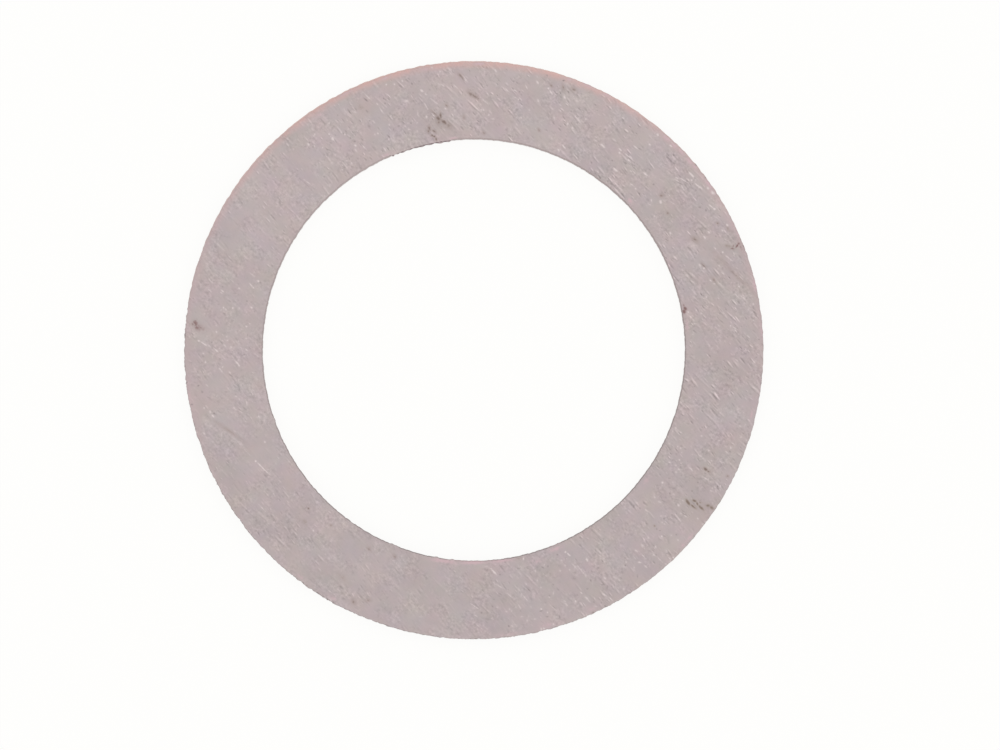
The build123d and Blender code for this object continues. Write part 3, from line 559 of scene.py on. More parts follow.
class NodeBench:
    """Lays and joins shader nodes in one tree, so that a finish reads as a list of steps."""

    def __init__(self, tree: bpy.types.NodeTree) -> None:
        """Starts on an empty tree."""
        self.tree = tree

    def add(self, kind: str, **settings: object) -> bpy.types.Node:
        """Adds one shader node.

        Args:
            kind: The node's type, without its ShaderNode prefix.
            **settings: The node's own properties.

        Returns:
            The new node.
        """
        node = self.tree.nodes.new("ShaderNode" + kind)
        for name, value in settings.items():
            setattr(node, name, value)
        return node

    def feed(self, node: bpy.types.Node, values: dict[str | int, object]) -> bpy.types.Node:
        """Sets or links a node's inputs.

        Args:
            node: The node whose inputs are fed.
            values: A wire or a plain value for each input, by its name or its number.

        Returns:
            The same node.
        """
        for key, value in values.items():
            if isinstance(value, Wire):
                self.tree.links.new(value, node.inputs[key])
            else:
                node.inputs[key].default_value = value
        return node

    def math(self, operation: str, *values: object, clamp: bool = False) -> Wire:
        """Works out one number.

        Args:
            operation: The Math node's operation.
            *values: Its operands, as wires or numbers.
            clamp: Whether the result is held from 0 to 1.

        Returns:
            The result.
        """
        node = self.add("Math", operation=operation, use_clamp=clamp)
        return self.feed(node, dict(enumerate(values))).outputs[0]

    def vector(self, operation: str, *values: object) -> Wire:
        """Works out one vector.

        Args:
            operation: The Vector Math node's operation.
            *values: Its operands, as wires or triples.

        Returns:
            The result: a number for LENGTH and DOT_PRODUCT, and otherwise a vector.
        """
        node = self.feed(self.add("VectorMath", operation=operation), dict(enumerate(values)))
        return node.outputs["Value" if operation in ("LENGTH", "DOT_PRODUCT") else "Vector"]

    def ease(self, value: Wire, low: float, high: float, start: float = 0, end: float = 1) -> Wire:
        """Eases from one number to another while a value goes from low to high.

        Args:
            value: What drives it.
            low: The value at which it starts.
            high: The value at which it ends.
            start: The number up to low.
            end: The number from high on.

        Returns:
            The eased number.
        """
        node = self.add("MapRange", interpolation_type="SMOOTHSTEP")
        return self.feed(node, {0: value, 1: low, 2: high, 3: start, 4: end}).outputs[0]

    def mix(self, share: object, first: object, second: object) -> Wire:
        """Mixes two colours.

        Args:
            share: How much of the second, from 0 to 1.
            first: One colour.
            second: The other.

        Returns:
            The mixed colour.
        """
        node = self.add("Mix", data_type="RGBA")
        return self.feed(node, {0: share, 6: first, 7: second}).outputs[2]

    def triple(self, x: object, y: object, z: object) -> Wire:
        """Joins three numbers into one vector."""
        return self.feed(self.add("CombineXYZ"), {"X": x, "Y": y, "Z": z}).outputs[0]

    def parts(self, vector: Wire) -> bpy.types.NodeOutputs:
        """Parts a vector into its three numbers."""
        return self.feed(self.add("SeparateXYZ"), {0: vector}).outputs

    def turned(self, place: object, heading: object) -> Wire:
        """Turns places about Z, so that X runs along a heading.

        Args:
            place: The places.
            heading: The heading in radians.

        Returns:
            The places as seen along that heading.
        """
        node = self.add("VectorRotate", rotation_type="Z_AXIS", invert=True)
        return self.feed(node, {"Vector": place, "Angle": heading}).outputs[0]

    def noise(self, place: object, scale: object, detail: float = 2.0, rough: float = 0.5) -> Wire:
        """Lays smooth noise over places.

        Args:
            place: Where it is read.
            scale: How many waves it has in one unit.
            detail: How many finer octaves it carries.
            rough: How strong each finer octave is.

        Returns:
            Noise from 0 to 1, about one half.
        """
        node = self.add("TexNoise")
        values = {"Vector": place, "Scale": scale, "Detail": detail, "Roughness": rough}
        return self.feed(node, values).outputs["Fac"]

    def colour_noise(self, place: object, scale: object, detail: float = 2.0) -> Wire:
        """Lays three unlike noises over places, as a colour about mid-grey."""
        node = self.add("TexNoise")
        return self.feed(node, {"Vector": place, "Scale": scale, "Detail": detail}).outputs["Color"]


@dataclass(frozen=True)
class Lead:
    """One named input or output of an effect."""

    name: str
    kind: str = "Float"
    value: object = None


class Effect:
    """A surface effect that any finish can use: a shader node group that is built once."""

    title: str = ""
    takes: tuple[Lead, ...] = ()
    gives: tuple[Lead, ...] = ()

    def wire(self, bench: NodeBench, taken: dict[str, Wire]) -> dict[str, Wire]:
        """Lays the effect's own nodes.

        Args:
            bench: The group's bench.
            taken: The group's inputs by name.

        Returns:
            What the group gives, by name.
        """
        raise NotImplementedError

    def group(self) -> bpy.types.NodeTree:
        """The effect's node group, built on first use.

        Returns:
            The node group.
        """
        if self.title in bpy.data.node_groups:
            return bpy.data.node_groups[self.title]
        tree = bpy.data.node_groups.new(self.title, "ShaderNodeTree")
        for leads, side in ((self.takes, "INPUT"), (self.gives, "OUTPUT")):
            for lead in leads:
                socket = tree.interface.new_socket(
                    name=lead.name, in_out=side, socket_type="NodeSocket" + lead.kind
                )
                if lead.value is not None:
                    socket.default_value = lead.value
        bench = NodeBench(tree)
        start = tree.nodes.new("NodeGroupInput")
        end = tree.nodes.new("NodeGroupOutput")
        taken = {lead.name: start.outputs[lead.name] for lead in self.takes}
        bench.feed(end, self.wire(bench, taken))
        return tree

    def place(self, bench: NodeBench, **values: object) -> bpy.types.NodeOutputs:
        """Puts the effect into a finish.

        Args:
            bench: The finish's bench.
            **values: Values or wires for the inputs, by name.

        Returns:
            The effect's outputs.
        """
        node = bench.add("Group", node_tree=self.group())
        return bench.feed(node, values).outputs


class Bearings(Effect):
    """Where a point lies on the ring: in millimetres, and how far out from the axis."""

    title = "bearings"
    takes = (Lead("Object", "Vector"),)
    gives = (Lead("Place", "Vector"), Lead("Radius"), Lead("Height"), Lead("Outward", "Vector"))

    def wire(self, bench: NodeBench, taken: dict[str, Wire]) -> dict[str, Wire]:
        """Scales object coordinates to millimetres and finds the radius and the height."""
        place = bench.vector("MULTIPLY", taken["Object"], (1 / MM, 1 / MM, 1 / MM))
        flat = bench.vector("MULTIPLY", place, (1, 1, 0))
        return {
            "Place": place,
            "Radius": bench.vector("LENGTH", flat),
            "Height": bench.vector("DOT_PRODUCT", place, (0, 0, 1)),
            "Outward": bench.vector("NORMALIZE", flat),
        }


class RollGrain(Effect):
    """The grain that the rolls press into strip: fine streaks that all run one way."""

    title = "roll_grain"
    takes = (
        Lead("Place", "Vector"),
        Lead("Heading"),
        Lead("Length", value=0.5),
        Lead("Width", value=0.06),
        Lead("Wander", value=0.1),
    )
    gives = (Lead("Grain"),)
    drift_scale = 0.9

    def wire(self, bench: NodeBench, taken: dict[str, Wire]) -> dict[str, Wire]:
        """Stretches noise along the heading and lets it wander a little."""
        drift = bench.colour_noise(taken["Place"], self.drift_scale)
        drift = bench.vector("SUBTRACT", drift, MIDDLE)
        bent = bench.vector("MULTIPLY_ADD", drift, taken["Wander"], taken["Place"])
        along = bench.turned(bent, taken["Heading"])
        across = bench.math("DIVIDE", 1.0, taken["Width"])
        length = bench.math("DIVIDE", 1.0, taken["Length"])
        streaks = bench.vector("MULTIPLY", along, bench.triple(length, across, across))
        return {"Grain": bench.noise(streaks, 1.0, 3.0, 0.6)}


class Scuffs(Effect):
    """Scuffs scattered over the face, each one a groove with the lip that it threw up."""

    title = "scuff_relief_and_shade"
    takes = (
        Lead("Place", "Vector"),
        Lead("Heading"),
        Lead("Length", value=0.4),
        Lead("Width", value=0.1),
        Lead("Sway", value=0.3),
        Lead("Rarity", value=3.0),
        Lead("Seed", value=0.0),
    )
    gives = (Lead("Groove"), Lead("Lip"))
    least_reach = 0.14
    reach_spread = 0.26
    lip_shift = 0.24

    def wire(self, bench: NodeBench, taken: dict[str, Wire]) -> dict[str, Wire]:
        """Draws one scuff in each cell, few of them strong, each swayed off the heading.

        Args:
            bench: The group's bench.
            taken: The group's inputs by name.

        Returns:
            The grooves and their lips, each from 0 to 1.
        """
        along = bench.turned(taken["Place"], taken["Heading"])
        across = bench.math("DIVIDE", 1.0, taken["Width"])
        length = bench.math("DIVIDE", 1.0, taken["Length"])
        cells = bench.vector("MULTIPLY", along, bench.triple(length, across, 0.0))
        cells = bench.vector("ADD", cells, taken["Seed"])
        pattern = bench.add("TexVoronoi", voronoi_dimensions="2D")
        bench.feed(pattern, {"Vector": cells, "Scale": 1.0})
        lot = bench.parts(pattern.outputs["Color"])
        local = bench.vector("SUBTRACT", cells, pattern.outputs["Position"])
        inside = bench.parts(local)
        sway = bench.math("MULTIPLY", bench.math("SUBTRACT", lot[0], 0.5), taken["Sway"])
        side = bench.math("MULTIPLY_ADD", inside[0], sway, inside[1])
        reach = bench.math("MULTIPLY_ADD", lot[1], self.reach_spread, self.least_reach)
        force = bench.math("POWER", lot[2], taken["Rarity"])
        outputs = {}
        for name, shift in (("Groove", 0.0), ("Lip", self.lip_shift)):
            offset = bench.triple(inside[0], bench.math("ADD", side, shift), 0.0)
            nearness = bench.math("DIVIDE", bench.vector("LENGTH", offset), reach)
            shape = bench.ease(nearness, 0.2, 1.0, 1, 0)
            outputs[name] = bench.math("MULTIPLY", shape, force)
        return outputs


class Blot(Effect):
    """One mark more, such as a pit, a scratch or a stain, laid over the marks before it.

    The trail carries the place in X and Y and, in Z, how deep the marks so far lie under it:
    the strength at a mark's middle, 0 at its outline, and below 0 outside. Each blot waits for
    the one before it, so that any number of them can be laid in one chain.
    """

    title = "blot"
    takes = (
        Lead("Trail", "Vector"),
        Lead("Centre", "Vector"),
        Lead("Along", "Vector"),
        Lead("Aside", "Vector"),
        Lead("Strength", value=1.0),
    )
    gives = (Lead("Trail", "Vector"),)

    def wire(self, bench: NodeBench, taken: dict[str, Wire]) -> dict[str, Wire]:
        """Measures how deep inside its own outline the place lies, and keeps the deepest."""
        offset = bench.vector("SUBTRACT", taken["Trail"], taken["Centre"])
        along = bench.vector("DOT_PRODUCT", offset, taken["Along"])
        aside = bench.vector("DOT_PRODUCT", offset, taken["Aside"])
        share = bench.vector("LENGTH", bench.triple(along, aside, 0.0))
        inward = bench.math("SUBTRACT", 1.0, share)
        so_far = bench.parts(taken["Trail"])
        depth = bench.math("MULTIPLY", inward, taken["Strength"])
        depth = bench.math("MAXIMUM", depth, so_far[2])
        return {"Trail": bench.triple(so_far[0], so_far[1], depth)}


# ---- Finishes -----------------------------------------------------------------------------


def new_material(name: str) -> tuple[bpy.types.Material, NodeBench]:
    """Starts a material with no nodes.

    Args:
        name: The material's name.

    Returns:
        The material, and a bench on its tree.
    """
    material = bpy.data.materials.new(name)
    material.use_nodes = True
    material.node_tree.nodes.clear()
    return material, NodeBench(material.node_tree)


def steel_shader(bench: NodeBench, colour: Wire, rough: Wire, height: Wire, relief: float) -> None:
    """Ends a finish with bare steel.

    Args:
        bench: The finish's bench.
        colour: The colour of the steel and of what lies on it.
        rough: How much it scatters.
        height: The relief, from 0 to about 1.
        relief: How high that is in metres.
    """
    bump = bench.feed(bench.add("Bump"), {"Height": height, "Strength": 1.0, "Distance": relief})
    shader = bench.add("BsdfPrincipled")
    values = {"Base Color": colour, "Metallic": 1.0, "Roughness": rough, "Normal": bump.outputs[0]}
    bench.feed(shader, values)
    output = bench.add("OutputMaterial")
    bench.feed(output, {"Surface": shader.outputs[0]})


def ring_bearings(bench: NodeBench) -> bpy.types.NodeOutputs:
    """Places the ring's bearings in a finish, on object coordinates."""
    where = bench.add("TexCoord")
    return Bearings().place(bench, Object=where.outputs["Object"])


@dataclass(frozen=True)
class MarkKind:
    """Marks of one kind: their colour, how ragged they are, and the halo that some have."""

    marks: tuple[Mark, ...]
    core: Colour
    rag: float
    halo: Colour | None = None
    halo_share: float = 0.0


def lay_marks(bench: NodeBench, place: Wire, colour: Wire, kinds: tuple[MarkKind, ...]) -> Wire:
    """Lays each kind of mark over the steel.

    Args:
        bench: The finish's bench.
        place: The places in millimetres.
        colour: The colour of the steel.
        kinds: The kinds of mark, the lowest first.

    Returns:
        The marked colour.
    """
    outline, full = 0.0, 0.75
    halo_outline, halo_full = -0.7, 0.4
    rag = bench.math("SUBTRACT", bench.noise(place, 8.0, 3.0, 0.65), 0.5)
    flat = bench.parts(place)
    start = bench.triple(flat[0], flat[1], -1.0)
    for kind in kinds:
        trail = start
        for mark in kind.marks:
            trail = Blot().place(
                bench,
                Trail=trail,
                Centre=(mark.x, mark.y, 0.0),
                Along=mark.along,
                Aside=mark.aside,
                Strength=mark.strength,
            )["Trail"]
        depth = bench.math("MULTIPLY_ADD", rag, kind.rag, bench.parts(trail)[2])
        if kind.halo is not None:
            share = bench.ease(depth, halo_outline, halo_full, 0, kind.halo_share)
            colour = bench.mix(share, colour, kind.halo)
        colour = bench.mix(bench.ease(depth, outline, full), colour, kind.core)
    return colour


def kinds_near(kinds: tuple[MarkKind, ...], bearing: float, spread: float) -> tuple[MarkKind, ...]:
    """Keeps the marks that lie within one stretch of the ring.

    Args:
        kinds: The kinds of mark.
        bearing: The bearing of the stretch's middle, in degrees.
        spread: How far it reaches to each side, in degrees.

    Returns:
        The same kinds, in the same order, with only the near marks.
    """
    near = []
    for kind in kinds:
        marks = tuple(
            mark for mark in kind.marks if abs((mark.bearing - bearing + 180) % 360 - 180) < spread
        )
        near.append(replace(kind, marks=marks))
    return tuple(near)


@dataclass(frozen=True)
class GrainLayer:
    """One layer of the rolled grain: its turn off the heading, its size and its strength."""

    turn: float
    length: float
    width: float
    wander: float
    tone: float


@dataclass(frozen=True)
class ScuffLayer:
    """One layer of scuffs: its turn off the heading, its size, how rare and how strong."""

    turn: float
    length: float
    width: float
    sway: float
    rarity: float
    tone: float
    seed: float


GRAIN = (
    GrainLayer(0, 0.26, 0.075, 0.12, 0.15),
    GrainLayer(-6, 0.50, 0.100, 0.30, 0.16),
    GrainLayer(4, 0.80, 0.140, 0.40, 0.16),
    GrainLayer(-2, 1.60, 0.220, 0.60, 0.18),
)

# A positive tone makes a bright groove beside a dark lip, a negative one a dark groove beside a bright
# lip: relief in the bump, and painted highlight and shade in the colour.
SCUFFS = (
    ScuffLayer(0, 0.42, 0.17, 0.9, 4.5, 0.23, 3.0),
    ScuffLayer(-4, 0.90, 0.19, 0.5, 5.0, 0.25, 17.0),
    ScuffLayer(3, 2.20, 0.24, 0.4, 5.5, 0.19, 31.0),
    ScuffLayer(0, 0.42, 0.17, 0.9, 4.5, -0.18, 47.0),
    ScuffLayer(-6, 0.90, 0.20, 0.5, 5.5, -0.18, 61.0),
    ScuffLayer(0, 0.22, 0.20, 0.5, 9.0, -0.15, 83.0),
)

# Where the dark streaks at the burrs lie, in millimetres from the axis.
BORE_STREAK_RADIUS = 9.022
RIM_STREAK_RADIUS = 12.375

BORE_BURR_STREAKS = MarkKind(
    marks=tuple(burr.streak(BORE_STREAK_RADIUS) for burr in BORE_BURRS),
    core=(0.185, 0.140, 0.145, 1.0),
    rag=0.7,
)

RIM_BURR_STREAKS = MarkKind(
    marks=tuple(burr.streak(RIM_STREAK_RADIUS) for burr in RIM_BURRS),
    core=(0.250, 0.195, 0.200, 1.0),
    rag=1.0,
)

# A warm reflection painted on the bore's edge at the foot.
BORE_PAINTED_REFLECTION = MarkKind(
    marks=strokes((-0.1, -9.06, 0, 4.2, 0.5, 0.9), (3.5, -8.36, 23, 0.9, 0.4, 0.8)),
    core=(0.470, 0.330, 0.345, 1.0),
    rag=0.6,
)

# The warm reflections, the groove shade, the scratch highlights and the glints are painted light and
# shade in the colour; the stains, drips, rust and pits are marks on the steel.
MARK_KINDS = (
    MarkKind(PAINTED_WARM_REFLECTIONS, (0.570, 0.425, 0.445, 1.0), 1.0, (0.53, 0.42, 0.43, 1.0), 0.3),
    MarkKind(PAINTED_GROOVE_SHADE, (0.290, 0.245, 0.245, 1.0), 0.8),
    MarkKind(STAINS, (0.330, 0.265, 0.235, 1.0), 0.9, (0.44, 0.37, 0.35, 1.0), 0.25),
    MarkKind(DRIPS, (0.245, 0.190, 0.160, 1.0), 0.7, (0.41, 0.345, 0.31, 1.0), 0.35),
    MarkKind(RUST, (0.255, 0.165, 0.160, 1.0), 1.2, (0.42, 0.33, 0.32, 1.0), 0.35),
    MarkKind(PITS, (0.235, 0.180, 0.160, 1.0), 1.2, (0.36, 0.285, 0.265, 1.0), 0.55),
    BORE_BURR_STREAKS,
    RIM_BURR_STREAKS,
    MarkKind(PAINTED_SCRATCH_HIGHLIGHTS, (0.665, 0.582, 0.572, 1.0), 0.8),
    MarkKind(GLINTS, (0.660, 0.577, 0.568, 1.0), 1.0, (0.53, 0.457, 0.452, 1.0), 0.2),
)


@dataclass(frozen=True)
class RolledFace:
    """The face that the rolls left, with its grain, its scuff marks and its other marks.

    Its sizes are in millimetres, apart from the relief, which is in metres. Each pair runs from
    the least to the most of what it says, and the strengths of the grain, the scuff layers and the
    clouds are shares of the steel's own tone. The tone shapes the bump and also darkens and
    lightens the colour, so the grooves and lips of the scuff marks are painted shade and
    highlights as well as relief. The tone is painted a little lighter towards the head, and a
    warm reflection and a highlight on the crest are painted along the head of the rim.
    """

    name: str
    kinds: tuple[MarkKind, ...] = ()
    seed: float = 0.0
    warm: bool = True
    steel: Colour = (0.472, 0.402, 0.400, 1.0)
    # The colours of the warm reflection and of the crest's highlight, painted along the head of the
    # rim.
    reflected_salmon: Colour = (0.610, 0.408, 0.380, 1.0)
    reflected_pink: Colour = (0.550, 0.405, 0.408, 1.0)
    crest: Colour = (0.760, 0.560, 0.510, 1.0)
    mottling: tuple[float, float, float] = (0.130, 0.118, 0.130)
    heading: float = -47.0
    speckle: float = 0.34
    grain_kept: tuple[float, float] = (0.02, 1.56)
    clouds: float = 0.16
    patches: float = 0.08
    face_side_light: float = 0.017
    glint_side_strength: tuple[float, float] = (0.62, 1.22)
    scuff_patches: tuple[float, float] = (0.35, 1.60)
    lip: float = -0.55
    least_tone: float = 0.45
    roughness: float = 0.42
    shine: float = 0.25
    relief: float = 4.0e-6
    rim: float = 12.42
    roll_width: float = 0.14
    # Sides towards which painted light is stronger: the scuff marks' highlights and shade, the face's
    # tone, and the rim's warm reflection.
    painted_glint_side: tuple[float, float, float] = (0.78, 0.62, 0.0)
    face_lit_side: tuple[float, float, float] = (-0.40, 0.92, 0.0)
    reflection_side: tuple[float, float, float] = (-0.10, 0.995, 0.0)

    def material(self) -> bpy.types.Material:
        """Builds the finish.

        Returns:
            The material.
        """
        material, bench = new_material(self.name)
        ring = ring_bearings(bench)
        place = ring["Place"]

        grain = self.grain(bench, ring)
        scuff_relief_and_shade = self.scuff_relief_and_shade(bench, ring)
        tone = bench.math("ADD", grain, scuff_relief_and_shade)
        tone = bench.math("MAXIMUM", tone, self.least_tone)
        tint = self.mottle(bench, place)
        # The tone darkens and lightens the colour: the grain, with the painted shade and highlights of
        # the scuff marks and a painted lighter side.
        colour = bench.vector("MULTIPLY", self.steel[:3], bench.vector("MULTIPLY", tint, tone))
        # Painted reflection: a warm reflection and a crest highlight along the head of the rim.
        if self.warm:
            colour = self.paint_rim_reflection(bench, ring, colour)
        colour = lay_marks(bench, place, colour, self.kinds)
        rough = bench.math("MULTIPLY_ADD", tone, -self.shine, self.roughness + self.shine)
        steel_shader(bench, colour, rough, tone, self.relief)
        return material

    def grain(self, bench: NodeBench, ring: bpy.types.NodeOutputs) -> Wire:
        """The tone of the rolled grain, about 1, with a little painted light towards the head.

        Args:
            bench: The finish's bench.
            ring: The bearings.

        Returns:
            The tone.
        """
        place = ring["Place"]
        speckle = bench.noise(place, 8.0, 1.5, 0.6)
        fine = bench.math("MULTIPLY_ADD", speckle, self.speckle, -self.speckle / 2)
        for layer in GRAIN:
            streaks = RollGrain().place(
                bench,
                Place=place,
                Heading=math.radians(self.heading + layer.turn),
                Length=layer.length,
                Width=layer.width,
                Wander=layer.wander,
            )["Grain"]
            fine = bench.math("MULTIPLY_ADD", streaks, layer.tone, fine)
            fine = bench.math("SUBTRACT", fine, layer.tone / 2)
        worn = bench.noise(bench.vector("ADD", place, (7.0, 3.0, 0.0)), 1.3, 4.0, 0.6)
        kept = bench.ease(worn, 0.40, 0.62, *self.grain_kept)
        cloud = bench.noise(place, 0.45, 2.0)
        cloud = bench.math("MULTIPLY_ADD", cloud, self.clouds, 1 - self.clouds / 2)
        patch = bench.noise(place, 2.2, 2.0)
        patch = bench.math("MULTIPLY_ADD", patch, self.patches, -self.patches / 2)
        # Painted light: the tone is a little lighter towards the head.
        lit_side_lean = bench.vector("DOT_PRODUCT", ring["Outward"], self.face_lit_side)
        broad = bench.math("ADD", cloud, patch)
        broad = bench.math("MULTIPLY_ADD", lit_side_lean, self.face_side_light, broad)
        return bench.math("MULTIPLY_ADD", fine, kept, broad)

    def scuff_relief_and_shade(self, bench: NodeBench, ring: bpy.types.NodeOutputs) -> Wire:
        """How much the scuff marks raise or lower the tone, stronger towards the upper right: relief in
        the bump, and painted shade and highlights in the colour.

        Args:
            bench: The finish's bench.
            ring: The bearings.

        Returns:
            The change of tone, about 0.
        """
        place = ring["Place"]
        # Painted light: the scuff marks' highlights and shade are stronger towards the upper right.
        lean = bench.vector("DOT_PRODUCT", ring["Outward"], self.painted_glint_side)
        lean = bench.ease(lean, -0.6, 1.0, *self.glint_side_strength)
        patch = bench.ease(bench.noise(place, 1.0, 3.0), 0.38, 0.62, *self.scuff_patches)
        busy = bench.math("MULTIPLY", lean, patch)
        total = None
        for layer in SCUFFS:
            scuff = Scuffs().place(
                bench,
                Place=place,
                Heading=math.radians(self.heading + layer.turn),
                Length=layer.length,
                Width=layer.width,
                Sway=layer.sway,
                Rarity=layer.rarity,
                Seed=layer.seed + self.seed,
            )
            shown = bench.math("MULTIPLY_ADD", scuff["Lip"], self.lip, scuff["Groove"])
            shown = bench.math("MULTIPLY", shown, layer.tone)
            total = shown if total is None else bench.math("ADD", total, shown)
        return bench.math("MULTIPLY", total, busy)

    def mottle(self, bench: NodeBench, place: Wire) -> Wire:
        """The patches of a greener and of a bluer grey that handling leaves on bare steel.

        Args:
            bench: The finish's bench.
            place: The places in millimetres.

        Returns:
            A colour about white, to multiply by.
        """
        patches = bench.colour_noise(place, 1.1, 4.0)
        around = bench.vector("SUBTRACT", patches, MIDDLE)
        return bench.vector("MULTIPLY_ADD", around, self.mottling, (1.0, 1.0, 1.0))

    def paint_rim_reflection(self, bench: NodeBench, ring: bpy.types.NodeOutputs, colour: Wire) -> Wire:
        """Paints a warm reflection on the die roll at the head of the rim, and a highlight on its
        crest.

        Args:
            bench: The finish's bench.
            ring: The bearings.
            colour: The colour so far.

        Returns:
            The colour with the painted reflection and highlight.
        """
        band_start = self.rim - 3.0 * self.roll_width
        band_full = self.rim - 0.06
        crest_start = self.rim - 0.7 * self.roll_width
        band = bench.ease(ring["Radius"], band_start, band_full)
        side = bench.vector("DOT_PRODUCT", ring["Outward"], self.reflection_side)
        share = bench.math("MULTIPLY_ADD", side, 0.5, 0.5, clamp=True)
        share = bench.math("MULTIPLY", bench.math("POWER", share, 2.2), band)
        broken = bench.ease(bench.noise(ring["Place"], 3.0, 3.0, 0.6), 0.35, 0.60, 0.55, 1.0)
        reflection_tint = bench.mix(bench.ease(side, 0.45, 0.95), self.reflected_pink, self.reflected_salmon)
        with_reflection = bench.mix(bench.math("MULTIPLY", share, broken), colour, reflection_tint)
        at_crest = bench.ease(ring["Radius"], crest_start, self.rim)
        crest_share = bench.ease(side, 0.1, 0.9, 0, 0.6)
        at_crest = bench.math("MULTIPLY", at_crest, crest_share)
        return bench.mix(at_crest, with_reflection, self.crest)


@dataclass(frozen=True)
class ShearedEdge:
    """The cut edge: a burnished land with upright stripes, and a torn break.

    Its heights are in millimetres above the lower face. Its marks start at the first height of
    their pair and are full at the second, and the break is made paler towards its lit side by its
    shade, which is painted light.
    The relief is that of the land, in metres, and the torn break has the tear height times it.
    """

    name: str
    land_low: float
    land_high: float
    marked_heights: tuple[float, float]
    kinds: tuple[MarkKind, ...]
    shade: float = 0.0
    painted_lit_side: tuple[float, float, float] = (-0.34, 0.94, 0.0)
    steel: Colour = (0.480, 0.410, 0.405, 1.0)
    torn: Colour = (0.365, 0.300, 0.298, 1.0)
    raggedness: float = 0.08
    softness: float = 0.01
    land_roughness: float = 0.30
    break_roughness: float = 0.55
    tear_height: float = 3.0
    relief: float = 3.0e-6

    def material(self) -> bpy.types.Material:
        """Builds the finish.

        Returns:
            The material.
        """
        material, bench = new_material(self.name)
        ring = ring_bearings(bench)
        upright = bench.vector("MULTIPLY", ring["Place"], (1.0, 1.0, 0.06))
        stripes = bench.noise(upright, 14.0, 3.0, 0.6)
        tear = bench.noise(ring["Place"], 16.0, 4.0, 0.65)

        ragged = bench.noise(ring["Place"], 5.0, 3.0)
        ragged = bench.math("MULTIPLY_ADD", ragged, self.raggedness, -self.raggedness / 2)
        level = bench.math("ADD", ring["Height"], ragged)
        soft = self.softness
        low = bench.ease(level, self.land_low - soft, self.land_low + soft)
        high = bench.ease(level, self.land_high - soft, self.land_high + soft, 1, 0)
        land = bench.math("MULTIPLY", low, high)

        stripe_tone = bench.math("MULTIPLY_ADD", stripes, 0.5, 0.75)
        # Painted light: the break is made paler towards the lit side.
        lean = bench.vector("DOT_PRODUCT", ring["Outward"], self.painted_lit_side)
        shaded = bench.math("MULTIPLY_ADD", lean, self.shade, 0.5)
        tear_tone = bench.math("ADD", tear, shaded)
        bright = bench.vector("MULTIPLY", self.steel[:3], stripe_tone)
        dull = bench.vector("MULTIPLY", self.torn[:3], tear_tone)
        clean = bench.mix(land, dull, bright)
        marked_colour = lay_marks(bench, ring["Place"], clean, self.kinds)
        colour = bench.mix(bench.ease(ring["Height"], *self.marked_heights), clean, marked_colour)
        rough = bench.ease(land, 0, 1, self.break_roughness, self.land_roughness)
        grain = bench.math("MULTIPLY", stripes, land)
        rest = bench.math("SUBTRACT", 1.0, land)
        torn = bench.math("MULTIPLY", tear, rest)
        height = bench.math("MULTIPLY_ADD", torn, self.tear_height, grain)
        steel_shader(bench, colour, rough, height, self.relief)
        return material


# ---- The ring -----------------------------------------------------------------------------


class Zone(Enum):
    """The parts of the section, each with its own finish."""

    LOWER_FACE = 0
    RIM_EDGE = 1
    BORE_EDGE = 2
    UPPER_FACE = 3


@dataclass(frozen=True)
class Loop:
    """One loop of edges round the ring, and the zone of the wall that it ends."""

    radius: float
    height: float
    zone: Zone


